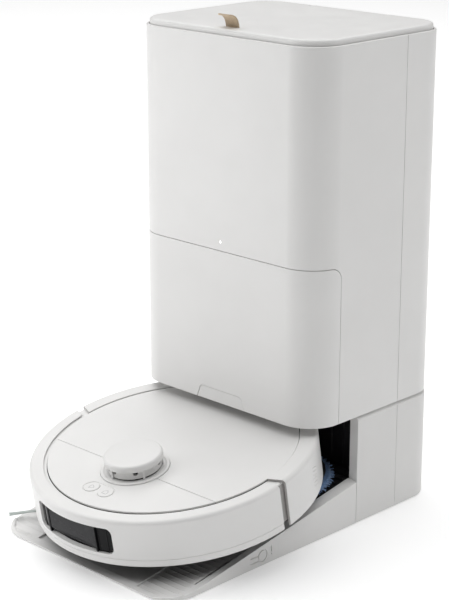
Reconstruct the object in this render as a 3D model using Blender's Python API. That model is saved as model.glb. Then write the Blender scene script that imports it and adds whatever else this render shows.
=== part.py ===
"""Round robot vacuum parked in its tower station.

Metres, +Z up. The front, where the robot drives out, faces -Y. The origin is on the floor, below the
middle of the whole object's box. The station is drawn in a frame whose y = 0 is the tower's front face.
The robot is drawn in its own frame: x to its right, y to its rear, z up from the plane its wheels roll on.
"""

import math

import bmesh
import bpy
from mathutils import Matrix, Vector

# Tower
TOWER_HALF_W = 0.151
TOWER_D = 0.237
FRONT_R = 0.0447
REAR_R = 0.040
WALL = 0.003
TOWER_Z0 = 0.1405
RIM_Z = 0.593
COVER_TOP_Z = 0.3345
COVER_SIDE_Y = 0.0474
COVER_CORNER_R = 0.015
REAR_SEAM_Y = 0.158
SEAM = 0.0007
CORNER_STEPS = 8

# Lid
LID_INSET = 0.004
LID_Z0 = 0.5945
LID_Z1 = 0.6010
LID_ROUND = 0.003
HINGE_X = 0.060
HINGE_Y = TOWER_D - LID_INSET - 0.0033
HINGE_Z = (LID_Z0 + LID_Z1) / 2

# Base and ramp
BASE_HALF_W = 0.1513
BASE_Y0 = 0.0838
BASE_BACK = 0.2385
BASE_TOP = 0.1394
BASE_CHAMFER_H = 0.0035
BASE_CHAMFER_W = 0.0040
UNDERSIDE = 0.0012
BAY_HALF_W = 0.1385
BAY_BACK = 0.1105
RAMP_FRONT = -0.2335
RAMP_BACK = BASE_Y0 - 0.0006
RAMP_CORNER_R = 0.040
RAMP_LIP = 0.0042
CHEEK_Z_AT_0 = 0.0408
CHEEK_SLOPE = 0.168
TRACK_X0 = 0.0900
TRACK_X1 = 0.1358
TRACK_DEPTH = 0.003
TRACK_CORNER_R = 0.034
TRACK_PITCH = 0.0078
TREADS = 23
TRAY_Y0 = -0.034
TRAY_Y1 = 0.1040
TRAY_LOW = -0.0085
DOCK_PIN_X = 0.032
DOCK_PIN_Y = 0.0975
DOCK_PIN_HEIGHT = 0.030
PORT_HALF_W = 0.0165

# Robot
PARK_TILT = math.radians(10.0)
ROBOT_X = 0.0035
ROBOT_Y = -0.0702
ROBOT_Z = 0.0311
ROBOT_R = 0.175
CHASSIS_R = 0.1660
BUMPER_Z0 = 0.022
BUMPER_Z1 = 0.082
LID_R = 0.1525
LID_TOP = 0.0808
BUMPER_GAP = 0.0045
SLANT = 0.42
BUMPER_END_Y = -0.0009
REAR_END_Y = 0.0100
REAR_START = 93.4
SEAM_Y = -0.0670
TURRET_Y = -0.0630
WINDOW_HALF = 21.0
WINDOW_Z0 = BUMPER_Z0 + 0.0138
WINDOW_Z1 = BUMPER_Z0 + 0.0475
WINDOW_CORNER = 0.0075
SILL_R = 0.1686
PANE_Y = 0.1690
PANE_HALF_W = 0.0395
TONGUE_R0 = 0.1668
TONGUE_R1 = 0.1702
LOUVRES = 6
LOUVRE_START = 113.5
LOUVRE_END = 118.0
LOUVRE_FALL = 0.0045
LOUVRE_Z = 0.0390
LOUVRE_PITCH = 0.0048
TURRET_R = 0.0355
TURRET_RING_R = 0.0415
TURRET_TOP = 0.1015
WHEEL_R = 0.035
WHEEL_X = 0.115
WHEEL_W = 0.026
MOP_X = 0.0700
MOP_Y = 0.1050
MOP_R = 0.0615
BUTTON_X = 0.012
BUTTON_Y = -0.1218
BUTTON_R = 0.0095
SIDE_BRUSH = (-0.108, -0.098)
CASTER_Y = -0.125
ROUND = 56
GAP = 0.0004

MATERIALS = {
    # name: colour, roughness, metallic
    "white_shell": ((0.80, 0.80, 0.79), 0.42, 0.0),
    "white_base": ((0.74, 0.74, 0.73), 0.50, 0.0),
    "dark_plastic": ((0.03, 0.03, 0.032), 0.45, 0.0),
    "black_gloss": ((0.012, 0.012, 0.014), 0.08, 0.0),
    "grey_plastic": ((0.30, 0.31, 0.32), 0.50, 0.0),
    "smoke_tank": ((0.34, 0.36, 0.38), 0.18, 0.0),
    "rubber": ((0.045, 0.045, 0.047), 0.75, 0.0),
    "mop_cloth": ((0.07, 0.15, 0.36), 0.95, 0.0),
    "bristle": ((0.45, 0.50, 0.48), 0.60, 0.0),
    "leather": ((0.62, 0.50, 0.37), 0.62, 0.0),
    "paper_bag": ((0.72, 0.70, 0.66), 0.90, 0.0),
    "steel": ((0.62, 0.62, 0.63), 0.30, 1.0),
    "board": ((0.02, 0.18, 0.08), 0.55, 0.0),
    "lamp": ((0.90, 0.92, 0.94), 0.30, 0.0),
}


# Meshes


def solid(bm):
    """Turns a bmesh into an object whose faces point out."""
    bmesh.ops.recalc_face_normals(bm, faces=bm.faces)
    mesh = bpy.data.meshes.new("shape")
    bm.to_mesh(mesh)
    bm.free()
    obj = bpy.data.objects.new("shape", mesh)
    bpy.context.scene.collection.objects.link(obj)
    return obj


def loft(rings, closed_loop=False):
    """Skins rings of equally many points, and caps the ends unless the rings close on themselves."""
    bm = bmesh.new()
    rows = [[bm.verts.new(p) for p in ring] for ring in rings]
    pairs = list(zip(rows, rows[1:]))
    if closed_loop:
        pairs.append((rows[-1], rows[0]))
    for low, high in pairs:
        for i in range(len(low)):
            j = (i + 1) % len(low)
            bm.faces.new((low[i], low[j], high[j], high[i]))
    if not closed_loop:
        bm.faces.new(rows[0][::-1])
        bm.faces.new(rows[-1])
    return solid(bm)


def prism(points, z0, z1):
    return loft([[(x, y, z) for x, y in points] for z in (z0, z1)])


def prism_x(points, x0, x1):
    """Extrudes an outline of (y, z) points along X."""
    return loft([[(x, y, z) for y, z in points] for x in (x0, x1)])


def box(x0, x1, y0, y1, z0, z1):
    return prism([(x0, y0), (x1, y0), (x1, y1), (x0, y1)], z0, z1)


def arc(cx, cy, r, start, end, steps):
    angles = [math.radians(start + (end - start) * i / steps) for i in range(steps + 1)]
    return [(cx + r * math.cos(a), cy + r * math.sin(a)) for a in angles]


def rounded(x0, x1, y0, y1, radii, steps=CORNER_STEPS):
    """Rectangle with its own radius at the front left, front right, rear right and rear left corner."""
    fl, fr, rr, rl = radii
    return (
        arc(x0 + fl, y0 + fl, fl, 180, 270, steps)
        + arc(x1 - fr, y0 + fr, fr, 270, 360, steps)
        + arc(x1 - rr, y1 - rr, rr, 0, 90, steps)
        + arc(x0 + rl, y1 - rl, rl, 90, 180, steps)
    )


def tower_plan(inset, steps=CORNER_STEPS):
    front, rear = FRONT_R - inset, REAR_R - inset
    half = TOWER_HALF_W - inset
    return rounded(-half, half, inset, TOWER_D - inset, (front, front, rear, rear), steps)


def soft_block(plan, z0, z1, bottom, top, steps=3):
    """Extrudes plan(inset), and rounds its bottom and top edges to these radii."""
    turns = [math.pi / 2 * i / steps for i in range(steps + 1)]
    levels = [(bottom * (1 - math.sin(t)), z0 + bottom * (1 - math.cos(t))) for t in turns]
    levels += [(top * (1 - math.cos(t)), z1 - top * (1 - math.sin(t))) for t in turns]
    if bottom == 0:
        levels = [(0.0, z0)] + levels[steps + 1 :]
    if top == 0:
        levels = [level for level in levels if level[1] < z1 - 1e-6] + [(0.0, z1)]
    return loft([[(x, y, z) for x, y in plan(inset)] for inset, z in levels])


def circle(r, z, cx=0.0, cy=0.0, steps=ROUND):
    return [(x, y, z) for x, y in arc(cx, cy, r, 0, 360, steps)[:-1]]


def turned(profile, cx=0.0, cy=0.0, steps=ROUND):
    """Turns a closed outline of (radius, z) points, none on the axis, about the vertical line at cx, cy."""
    return loft([circle(r, z, cx, cy, steps) for r, z in profile], closed_loop=True)


def stack(profile, cx=0.0, cy=0.0, steps=ROUND):
    """Turns an outline of (radius, z) points that starts and ends in flat faces across the axis."""
    return loft([circle(r, z, cx, cy, steps) for r, z in profile])


def disc(r, z0, z1, cx=0.0, cy=0.0, steps=ROUND, edge=0.0):
    if not edge:
        return stack([(r, z0), (r, z1)], cx, cy, steps)
    lower = [(r - edge, z0), (r, z0 + edge)]
    upper = [(r, z1 - edge), (r - 0.3 * edge, z1 - 0.3 * edge), (r - edge, z1)]
    return stack(lower + upper, cx, cy, steps)


def bar(r, start, end, steps=24):
    """Round bar between two points."""
    start, end = Vector(start), Vector(end)
    obj = disc(r, 0, (end - start).length, steps=steps)
    turn = (end - start).to_track_quat("Z", "Y").to_matrix().to_4x4()
    obj.data.transform(Matrix.Translation(start) @ turn)
    return obj


def place(obj, offset, turn=0.0, axis="Z"):
    """Turns a mesh about an axis through the origin, then moves it."""
    obj.data.transform(Matrix.Translation(offset) @ Matrix.Rotation(turn, 4, axis))


def bearing_point(r, azimuth, z):
    """Point at an azimuth in degrees from the robot's front, positive to its right."""
    a = math.radians(azimuth)
    return (r * math.sin(a), -r * math.cos(a), z)


def sector(profile, start, end, steps):
    """Sweeps a closed outline of (radius, z) points between two azimuths."""
    turns = [start + (end - start) * i / steps for i in range(steps + 1)]
    return loft([[bearing_point(r, a, z) for r, z in profile] for a in turns])


def curved_panel(half, z0, z1, corner, r0, r1, shrink=0.0, steps=4, middle=9):
    """Panel with rounded corners on the robot's round front, half as wide as half degrees each way."""
    wide = math.radians(half) * ROBOT_R - shrink
    z0, z1, corner = z0 + shrink, z1 - shrink, corner - shrink
    turns = [math.pi / 2 * i / steps for i in range(steps + 1)]
    ends = [(wide - corner + corner * math.cos(t), corner - corner * math.sin(t)) for t in turns]
    flat = [(ends[-1][0] * (1 - 2 * i / middle), 0.0) for i in range(1, middle)]
    columns = ends + flat + [(-s, cut) for s, cut in reversed(ends)]
    rings = []
    for s, cut in columns:
        azimuth = math.degrees(s / ROBOT_R)
        corners = ((r0, z0 + cut), (r1, z0 + cut), (r1, z1 - cut), (r0, z1 - cut))
        rings.append([bearing_point(r, azimuth, z) for r, z in corners])
    return loft(rings)


def combine(target, other, operation):
    """Cuts, joins or intersects target with other, and removes other."""
    step = target.modifiers.new("step", "BOOLEAN")
    step.operation = operation
    step.object = other
    graph = bpy.context.evaluated_depsgraph_get()
    result = bpy.data.meshes.new_from_object(target.evaluated_get(graph))
    target.modifiers.clear()
    target.data = result
    bpy.data.objects.remove(other)


def cut(target, *others):
    for other in others:
        combine(target, other, "DIFFERENCE")
    return target


def join(target, *others):
    for other in others:
        combine(target, other, "UNION")
    return target


def keep(target, other):
    combine(target, other, "INTERSECT")
    return target


def named(obj, name, material, parent, pivot=(0, 0, 0)):
    """Makes the object a sub-part: its material, its frame and its origin at the pivot."""
    obj.name = name
    obj.data.name = name
    obj.data.transform(Matrix.Translation(-Vector(pivot)))
    obj.location = pivot
    obj.parent = parent
    obj.data.materials.clear()
    obj.data.materials.append(MADE[material])
    obj.data.shade_smooth()
    obj.data.set_sharp_from_angle(angle=math.radians(32))
    return obj


def make_material(name, colour, roughness, metallic):
    made = bpy.data.materials.new(name)
    made.use_nodes = True
    shader = made.node_tree.nodes["Principled BSDF"]
    shader.inputs["Base Color"].default_value = (*colour, 1)
    shader.inputs["Roughness"].default_value = roughness
    shader.inputs["Metallic"].default_value = metallic
    return made


# Station


def seam_region(grow):
    """The block that the front cover fills: everything below the seam and in front of its side edges."""
    y1, z1 = COVER_SIDE_Y + grow, COVER_TOP_Z + grow
    r = COVER_CORNER_R + grow
    outline = [(-0.02, TOWER_Z0 - 0.01), (y1, TOWER_Z0 - 0.01)]
    outline += arc(y1 - r, z1 - r, r, 0, 90, 8) + [(-0.02, z1)]
    return prism_x(outline, -0.2, 0.2)


def shell_wall(z0, z1):
    wall = prism(tower_plan(0), z0, z1)
    return cut(wall, prism(tower_plan(WALL), z0 - 0.01, z1 + 0.01))


def latch_outline(grow):
    """Tapered tab seen from the front, as (x, z) points, with small radii at its top corners."""
    top, bottom = 0.0365 + grow, 0.0405 + grow
    z1, r = 0.1565 + grow, 0.0070
    right = arc(top - r, z1 - r, r, 0, 90, 6)
    left = [(-x, z) for x, z in reversed(right)]
    return [(-bottom, TOWER_Z0 - 0.001), (bottom, TOWER_Z0 - 0.001)] + right + left


def latch_block(grow, y0, y1):
    return loft([[(x, y, z) for x, z in latch_outline(grow)] for y in (y0, y1)])


def make_tower(station):
    front = shell_wall(TOWER_Z0, RIM_Z)
    rear = shell_wall(TOWER_Z0, RIM_Z)
    cut(front, seam_region(SEAM), box(-0.2, 0.2, REAR_SEAM_Y - SEAM / 2, 0.3, 0, 1))
    cut(front, lamp_hole())
    named(front, "tower_shell", "white_shell", station)

    cut(rear, box(-0.2, 0.2, -0.1, REAR_SEAM_Y + SEAM / 2, 0, 1))
    for side in (-1, 1):
        ear = hinge_ear(side * HINGE_X)
        join(rear, ear)
    cut(rear, bar(0.0015, (-0.08, HINGE_Y, HINGE_Z), (0.08, HINGE_Y, HINGE_Z)))
    named(rear, "rear_shell", "white_shell", station)

    cover = keep(shell_wall(TOWER_Z0, COVER_TOP_Z), seam_region(0))
    cut(cover, latch_block(0.0004, -0.01, WALL + 0.002))
    named(cover, "front_cover", "white_shell", station)

    latch = latch_block(0, 0.0005, 0.0065)
    cut(latch, box(-0.1, 0.1, -0.1, 0.1, 0.1, TOWER_Z0))
    named(latch, "cover_latch", "white_shell", station, (0, 0.0005, 0.148))

    lamp = bar(0.0012, (0, 0.0001, 0.346), (0, 0.008, 0.346), 16)
    named(lamp, "status_light", "lamp", station, (0, 0.0001, 0.346))


def lamp_hole():
    return bar(0.0016, (0, -0.01, 0.346), (0, 0.01, 0.346), 16)


def hinge_ear(x):
    """Upright ear on the rear shell that carries the lid's hinge pin."""
    half, z0 = 0.0045, RIM_Z - 0.014
    outline = [(HINGE_Y - 0.0028, z0), (TOWER_D - 0.001, z0), (TOWER_D - 0.001, RIM_Z - 0.002)]
    outline += [(HINGE_Y + 0.0028, RIM_Z), (HINGE_Y + 0.0028, HINGE_Z)]
    outline += arc(HINGE_Y, HINGE_Z, 0.0028, 0, 180, 8)[1:]
    return prism_x(outline, x - half, x + half)


def make_lid(station):
    def plan(inset):
        return tower_plan(LID_INSET + inset)

    lid = soft_block(plan, LID_Z0, LID_Z1, LID_ROUND * 0.8, LID_ROUND, 2)
    for side in (-1, 1):
        x = side * HINGE_X
        notch = box(x - 0.0052, x + 0.0052, HINGE_Y - 0.0045, TOWER_D, LID_Z0 - 0.01, LID_Z1 + 0.01)
        cut(lid, notch)
    cut(lid, bar(0.0015, (-0.072, HINGE_Y, HINGE_Z), (0.072, HINGE_Y, HINGE_Z)))
    pivot = (0, HINGE_Y, HINGE_Z)
    named(lid, "top_lid", "white_shell", station, pivot)

    pin = bar(0.00115, (-0.070, HINGE_Y, HINGE_Z), (0.070, HINGE_Y, HINGE_Z), 16)
    named(pin, "lid_hinge_pin", "steel", station, pivot)

    def strip(x):
        """Side view of the leather tab: up from the lid's top, then over towards the front."""
        outer = [(0.020, LID_Z1 + 0.0003), (0.0185, LID_Z1 + 0.006)]
        outer += [(0.014, LID_Z1 + 0.0115), (0.0075, LID_Z1 + 0.0142)]
        inner = [(y + 0.0008, z + 0.0018) for y, z in reversed(outer[1:])]
        return [(x, y, z) for y, z in outer + inner + [(0.0222, LID_Z1 + 0.0003)]]

    tab = loft([strip(-0.0105), strip(0.0105)])
    named(tab, "pull_tab", "leather", station, (0, 0.020, LID_Z1))


def make_tanks(station):
    """Two open-topped water tanks side by side under the lid, each with a loose cap."""
    z0, z1, wall = 0.3415, 0.5860, 0.002
    corner, small = 0.0395, 0.008
    for name, side in (("dirty_tank", -1), ("clean_tank", 1)):
        x_in, x_out = 0.002, TOWER_HALF_W - WALL - 0.0015
        y0, y1 = WALL + 0.0015, 0.172

        def plan(inset, side=side):
            x0, x1 = sorted((side * (x_in + inset), side * (x_out - inset)))
            big, low = corner - inset, max(small - inset, 0.001)
            radii = (big, low, low, low) if side < 0 else (low, big, low, low)
            return rounded(x0, x1, y0 + inset, y1 - inset, radii, 6)

        tank = prism(plan(0), z0, z1)
        cut(tank, prism(plan(wall), z0 + wall, z1 + 0.01))
        pivot = (side * (x_in + x_out) / 2, (y0 + y1) / 2, z0)
        named(tank, name, "smoke_tank", station, pivot)

        cap = soft_block(plan, z1 + GAP, z1 + 0.0045, 0, 0.0012, 2)
        grip = pivot[0]
        cut(cap, box(grip - 0.028, grip + 0.028, 0.078, 0.098, z1 + 0.0025, z1 + 0.02))
        named(cap, name + "_cap", "grey_plastic", station, (pivot[0], pivot[1], z1))


def make_inner_tower(station):
    deck = prism(tower_plan(WALL + GAP), 0.3370, 0.3410)
    cut(deck, box(-0.03, 0.03, 0.185, 0.215, 0.3, 0.4))
    named(deck, "tank_deck", "white_base", station)

    # The floor steps down behind the bay to rest on the base, and forms the bay's roof in front.
    low, high, thick = BASE_TOP + 0.0003, 0.1480, 0.0035
    step = BAY_BACK + 0.004
    side_view = [(0, high), (step, high), (step, low), (0.3, low), (0.3, low + thick)]
    side_view += [(step + thick, low + thick), (step + thick, high + thick), (0, high + thick)]
    floor = keep(prism_x(side_view, -0.2, 0.2), prism(tower_plan(WALL + GAP), 0.1, 0.2))
    cut(floor, disc(0.016, 0.1, 0.2, -0.10, 0.150, 24))
    cut(floor, box(-0.046, 0.046, 0, 0.0105, 0.1, 0.2))
    named(floor, "tower_floor", "white_base", station)

    def bag_plan(inset):
        r = 0.022 - inset
        return rounded(-0.100 + inset, 0.060 - inset, 0.014 + inset, 0.096 - inset, (r, r, r, r), 4)

    bag = soft_block(bag_plan, 0.158, 0.318, 0.020, 0.020, 3)
    named(bag, "dust_bag", "paper_bag", station, (-0.02, 0.055, 0.158))

    collar = box(-0.075, 0.035, 0.012, 0.104, 0.3190, 0.3215)
    cut(collar, disc(0.019, 0.3, 0.34, -0.02, 0.058, 32))
    named(collar, "bag_collar", "grey_plastic", station)

    z0, z1 = 0.1445, 0.3330
    pipe = [(0.0125, z0), (0.0150, z0), (0.0150, z1), (0.0125, z1)]
    named(turned(pipe, -0.10, 0.150, 20), "dust_duct", "grey_plastic", station)

    fan_x, fan_y, r = 0.060, 0.175, 0.048
    profile = [(0.004, 0.1535), (r, 0.1535), (r, 0.2050), (0.018, 0.2050), (0.018, 0.2025)]
    profile += [(r - 0.0025, 0.2025), (r - 0.0025, 0.1560), (0.004, 0.1560)]
    housing = turned(profile, fan_x, fan_y, 24)
    named(housing, "fan_housing", "grey_plastic", station)
    impeller = disc(0.040, 0.1600, 0.1625, fan_x, fan_y, 24)
    join(impeller, disc(0.009, 0.1570, 0.1860, fan_x, fan_y, 24))
    for i in range(8):
        blade = box(0.007, 0.038, -0.001, 0.001, 0.1620, 0.1800)
        place(blade, (fan_x, fan_y, 0), math.tau * i / 8, "Z")
        join(impeller, blade)
    named(impeller, "fan_impeller", "dark_plastic", station, (fan_x, fan_y, 0.157))


def plane_z(y, above=0.0):
    """Height of the robot's parking plane at y, raised by a distance along its normal."""
    return ROBOT_Z + (y - ROBOT_Y) * math.tan(PARK_TILT) + above / math.cos(PARK_TILT)


def sloped_block(x0, x1, y0, y1, below, above):
    """Block between two planes parallel to the parking plane."""
    lower = [(y, plane_z(y, below)) for y in (y0, y1)]
    upper = [(y, plane_z(y, above)) for y in (y1, y0)]
    return prism_x(lower + upper, x0, x1)


def cheek_z(y):
    return CHEEK_Z_AT_0 + CHEEK_SLOPE * y


def make_ramp(station):
    lip_y = (RAMP_LIP - CHEEK_Z_AT_0) / CHEEK_SLOPE
    side_view = [(RAMP_FRONT, UNDERSIDE), (RAMP_BACK, UNDERSIDE), (RAMP_BACK, cheek_z(RAMP_BACK))]
    side_view += [(lip_y, RAMP_LIP), (RAMP_FRONT, RAMP_LIP - 0.001)]
    ramp = prism_x(side_view, -BASE_HALF_W, BASE_HALF_W)
    corner = RAMP_CORNER_R
    radii = (corner, corner, 0.0005, 0.0005)
    plan = rounded(-BASE_HALF_W, BASE_HALF_W, RAMP_FRONT, RAMP_BACK, radii, 10)
    keep(ramp, prism(plan, -0.1, 0.2))

    # Wheel tracks: a sunk strip each side, its outer edge sloping up to the cheek, crossed by treads.
    track_half, track_front = BASE_HALF_W - 0.0035, RAMP_FRONT + 0.0062
    radii = (TRACK_CORNER_R, TRACK_CORNER_R, 0.0005, 0.0005)
    track_plan = rounded(-track_half, track_half, track_front, 0.01, radii, 10)
    for side in (-1, 1):
        rings = []
        for y in (RAMP_FRONT + 0.006, TRAY_Y0 - 0.004):
            floor = max(plane_z(y, -TRACK_DEPTH), RAMP_LIP - 0.0022)
            top = floor + 0.060
            section = [(TRACK_X0, floor), (TRACK_X1, floor), (TRACK_X1 + 0.012, cheek_z(y) + 0.0005)]
            section += [(TRACK_X1 + 0.012, top), (TRACK_X0, top)]
            rings.append([(side * x, y, z) for x, z in section])
        cut(ramp, keep(loft(rings), prism(track_plan, -0.1, 0.2)))
        for i in range(TREADS):
            y = RAMP_FRONT + 0.008 + TRACK_PITCH * i
            base, height = max(plane_z(y, -TRACK_DEPTH - 0.001), UNDERSIDE + 0.0002), plane_z(y, -0.0006)
            height = max(height, RAMP_LIP - 0.001)
            outline = [(y - 0.0014, base), (y + 0.0014, base)]
            outline += [(y + 0.0006, height), (y - 0.0006, height)]
            bend = max(TRACK_CORNER_R ** 2 - min(y - track_front - TRACK_CORNER_R, 0) ** 2, 0)
            end = min(TRACK_X1 - 0.001, track_half - TRACK_CORNER_R + math.sqrt(bend) + 0.0008)
            x0, x1 = sorted((side * (TRACK_X0 - 0.0005), side * end))
            join(ramp, prism_x(outline, x0, x1))
    # Middle of the ramp, and the pocket that holds the washing tray.
    lip, sunk, pocket_y = RAMP_LIP - 0.0012, -0.0022, TRAY_Y0 - 0.004
    lip_end = ROBOT_Y + (lip - sunk / math.cos(PARK_TILT) - ROBOT_Z) / math.tan(PARK_TILT)
    middle = [(RAMP_FRONT + 0.012, lip), (lip_end, lip), (pocket_y, plane_z(pocket_y, sunk))]
    middle += [(pocket_y, 0.1), (RAMP_FRONT + 0.012, 0.1)]
    cut(ramp, prism_x(middle, -TRACK_X0 + 0.002, TRACK_X0 - 0.002))
    cut(ramp, sloped_block(-0.1375, 0.1375, TRAY_Y0 - 0.001, 0.2, TRAY_LOW - 0.0004, 0.06))
    hollow_y0, hollow_y1, skin = -0.120, RAMP_BACK - 0.004, -0.0125
    under = [(hollow_y0, -0.01), (hollow_y1, -0.01)]
    under += [(hollow_y1, plane_z(hollow_y1, skin)), (hollow_y0, plane_z(hollow_y0, skin))]
    cut(ramp, prism_x(under, -BASE_HALF_W + 0.004, BASE_HALF_W - 0.004))
    named(ramp, "ramp", "white_base", station)

    tray = sloped_block(-0.1365, 0.1365, TRAY_Y0, TRAY_Y1, TRAY_LOW, -0.0045)
    for i in range(11):
        y = TRAY_Y0 + 0.008 + 0.0115 * i
        join(tray, sloped_block(-0.131, 0.131, y, y + 0.003, -0.0055, -0.0012))
    named(tray, "washboard_tray", "dark_plastic", station)


def make_base(station):
    def plan(inset):
        half, rear = BASE_HALF_W - inset, REAR_R + 0.001 - inset
        return rounded(-half, half, BASE_Y0, BASE_BACK - inset, (0.0005, 0.0005, rear, rear))

    levels = ((0, UNDERSIDE), (0, BASE_TOP - BASE_CHAMFER_H), (BASE_CHAMFER_W, BASE_TOP))
    base = loft([[(x, y, z) for x, y in plan(inset)] for inset, z in levels])
    bay = [(0.05, plane_z(0.05, TRAY_LOW - 0.0004)), (BAY_BACK, plane_z(BAY_BACK, TRAY_LOW - 0.0004))]
    cut(base, prism_x(bay + [(BAY_BACK, 0.2), (0.05, 0.2)], -BAY_HALF_W, BAY_HALF_W))
    room = rounded(-0.1440, 0.1440, BAY_BACK + 0.003, 0.2315, (0.002, 0.002, 0.034, 0.034), 6)
    cut(base, prism(room, UNDERSIDE + 0.003, 0.2))
    cut(base, box(-0.0155, 0.0155, 0.22, 0.25, 0.0198, 0.0442))
    cut(base, box(-PORT_HALF_W, PORT_HALF_W, 0.10, 0.12, 0.118, 0.134))
    pin_z = plane_z(DOCK_PIN_Y, DOCK_PIN_HEIGHT)
    for x in (-DOCK_PIN_X, DOCK_PIN_X):
        cut(base, bar(0.0034, (x, 0.10, pin_z), (x, 0.13, pin_z)))
    named(base, "base_housing", "white_base", station)

    liner = box(-BAY_HALF_W + GAP, BAY_HALF_W - GAP, 0.1072, BAY_BACK - GAP, 0.0600, 0.1385)
    for i in range(9):
        x = -0.120 + 0.030 * i
        if abs(x) > 0.045:
            join(liner, box(x - 0.001, x + 0.001, 0.1052, 0.1080, 0.0620, 0.1365))
    cut(liner, box(-PORT_HALF_W, PORT_HALF_W, 0.10, 0.12, 0.118, 0.134))
    for name, x in (("dock_contact_left", -DOCK_PIN_X), ("dock_contact_right", DOCK_PIN_X)):
        cut(liner, bar(0.0034, (x, 0.10, pin_z), (x, 0.13, pin_z)))
        pin = bar(0.0030, (x, DOCK_PIN_Y, pin_z), (x, 0.1165, pin_z), 20)
        named(pin, name, "steel", station, (x, DOCK_PIN_Y, pin_z))
    named(liner, "bay_liner", "dark_plastic", station)

    inlet = box(-0.0150, 0.0150, 0.2290, BASE_BACK - 0.0006, 0.0202, 0.0438)
    cut(inlet, box(-0.0120, 0.0120, 0.2320, 0.25, 0.0240, 0.0400))
    named(inlet, "power_inlet", "dark_plastic", station)

    pump = disc(0.020, 0.0060, 0.060, 0.085, 0.170, 20, 0.002)
    join(pump, bar(0.005, (0.085, 0.170, 0.055), (0.085, 0.170, 0.078), 16))
    named(pump, "water_pump", "dark_plastic", station)

    blower = box(-0.115, -0.055, 0.145, 0.170, 0.030, 0.090)
    cut(blower, bar(0.024, (-0.085, 0.10, 0.060), (-0.085, 0.164, 0.060), 32))
    named(blower, "drying_fan", "dark_plastic", station)
    board = box(-0.070, 0.070, 0.2050, 0.2066, 0.020, 0.120)
    named(board, "station_board", "board", station)

    for end, y in (("front", -0.195), ("rear", 0.210)):
        for which, x in (("left", -0.115), ("right", 0.115)):
            foot = disc(0.009, 0, UNDERSIDE - 0.0003, x, y, 16)
            named(foot, f"foot_{end}_{which}", "rubber", station, (x, y, 0))


# Robot


def rim_profile(inner):
    """Section of the bumper and of the rear body: an outer wall, a rounded shoulder and a top flange."""
    r, z0, z1, t = ROBOT_R, BUMPER_Z0, BUMPER_Z1, 0.0026
    outer = [(r - 0.0014, z0), (r, z0 + 0.0016)]
    shoulder = arc(r - 0.0048, z1 - 0.0048, 0.0048, 0, 90, 4)
    top = [(inner + 0.0006, z1), (inner, z1 - 0.0006), (inner, z1 - t)]
    inside = [(r - 0.0055, z1 - t), (r - t, z1 - t - 0.003), (r - t, z0)]
    return outer + shoulder + top + inside


def rear_end(rear, side):
    """Closes the rear body's front end, and adds the sunk tongue that shows in the gap beside the bumper."""
    low, top = BUMPER_Z0 + 0.0062, BUMPER_Z1 - 0.0035
    sections = (
        (TONGUE_R0 - 0.0003, ROBOT_R - 0.0012, low - 0.0004, top + 0.0004, 0.2, 1.7, 1),
        (TONGUE_R0, TONGUE_R1, low, top, -5.5, 0.9, 4),
        (LID_R + 0.0008, TONGUE_R1, BUMPER_Z1 - 0.0051, BUMPER_Z1 - 0.0035, -5.5, 0.9, 4),
    )
    for r0, r1, z0, z1, start, end, steps in sections:
        section = [(r0, z0), (r1, z0), (r1, z1), (r0, z1)]
        join(rear, sector(section, side * (REAR_START + start), side * (REAR_START + end), steps))


def end_block(side, y, beyond):
    """Block past the slanted plane that parts the bumper from the rear body, which meets their wall at y."""
    line = [(0.10, y - (ROBOT_R - 0.10) * SLANT), (0.20, y + (0.20 - ROBOT_R) * SLANT)]
    return prism([(side * a, b) for a, b in line + [(0.20, beyond), (0.10, beyond)]], -0.02, 0.12)


def louvre(side, z):
    """Narrow slot through the rear body's side, falling towards the rear."""
    rings = []
    for azimuth, fall in ((LOUVRE_START, 0.0), (LOUVRE_END, LOUVRE_FALL)):
        low, high = z - fall, z - fall + 0.0011
        corners = ((0.170, low), (0.180, low), (0.180, high), (0.170, high))
        rings.append([bearing_point(r, side * azimuth, level) for r, level in corners])
    return loft(rings)


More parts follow.
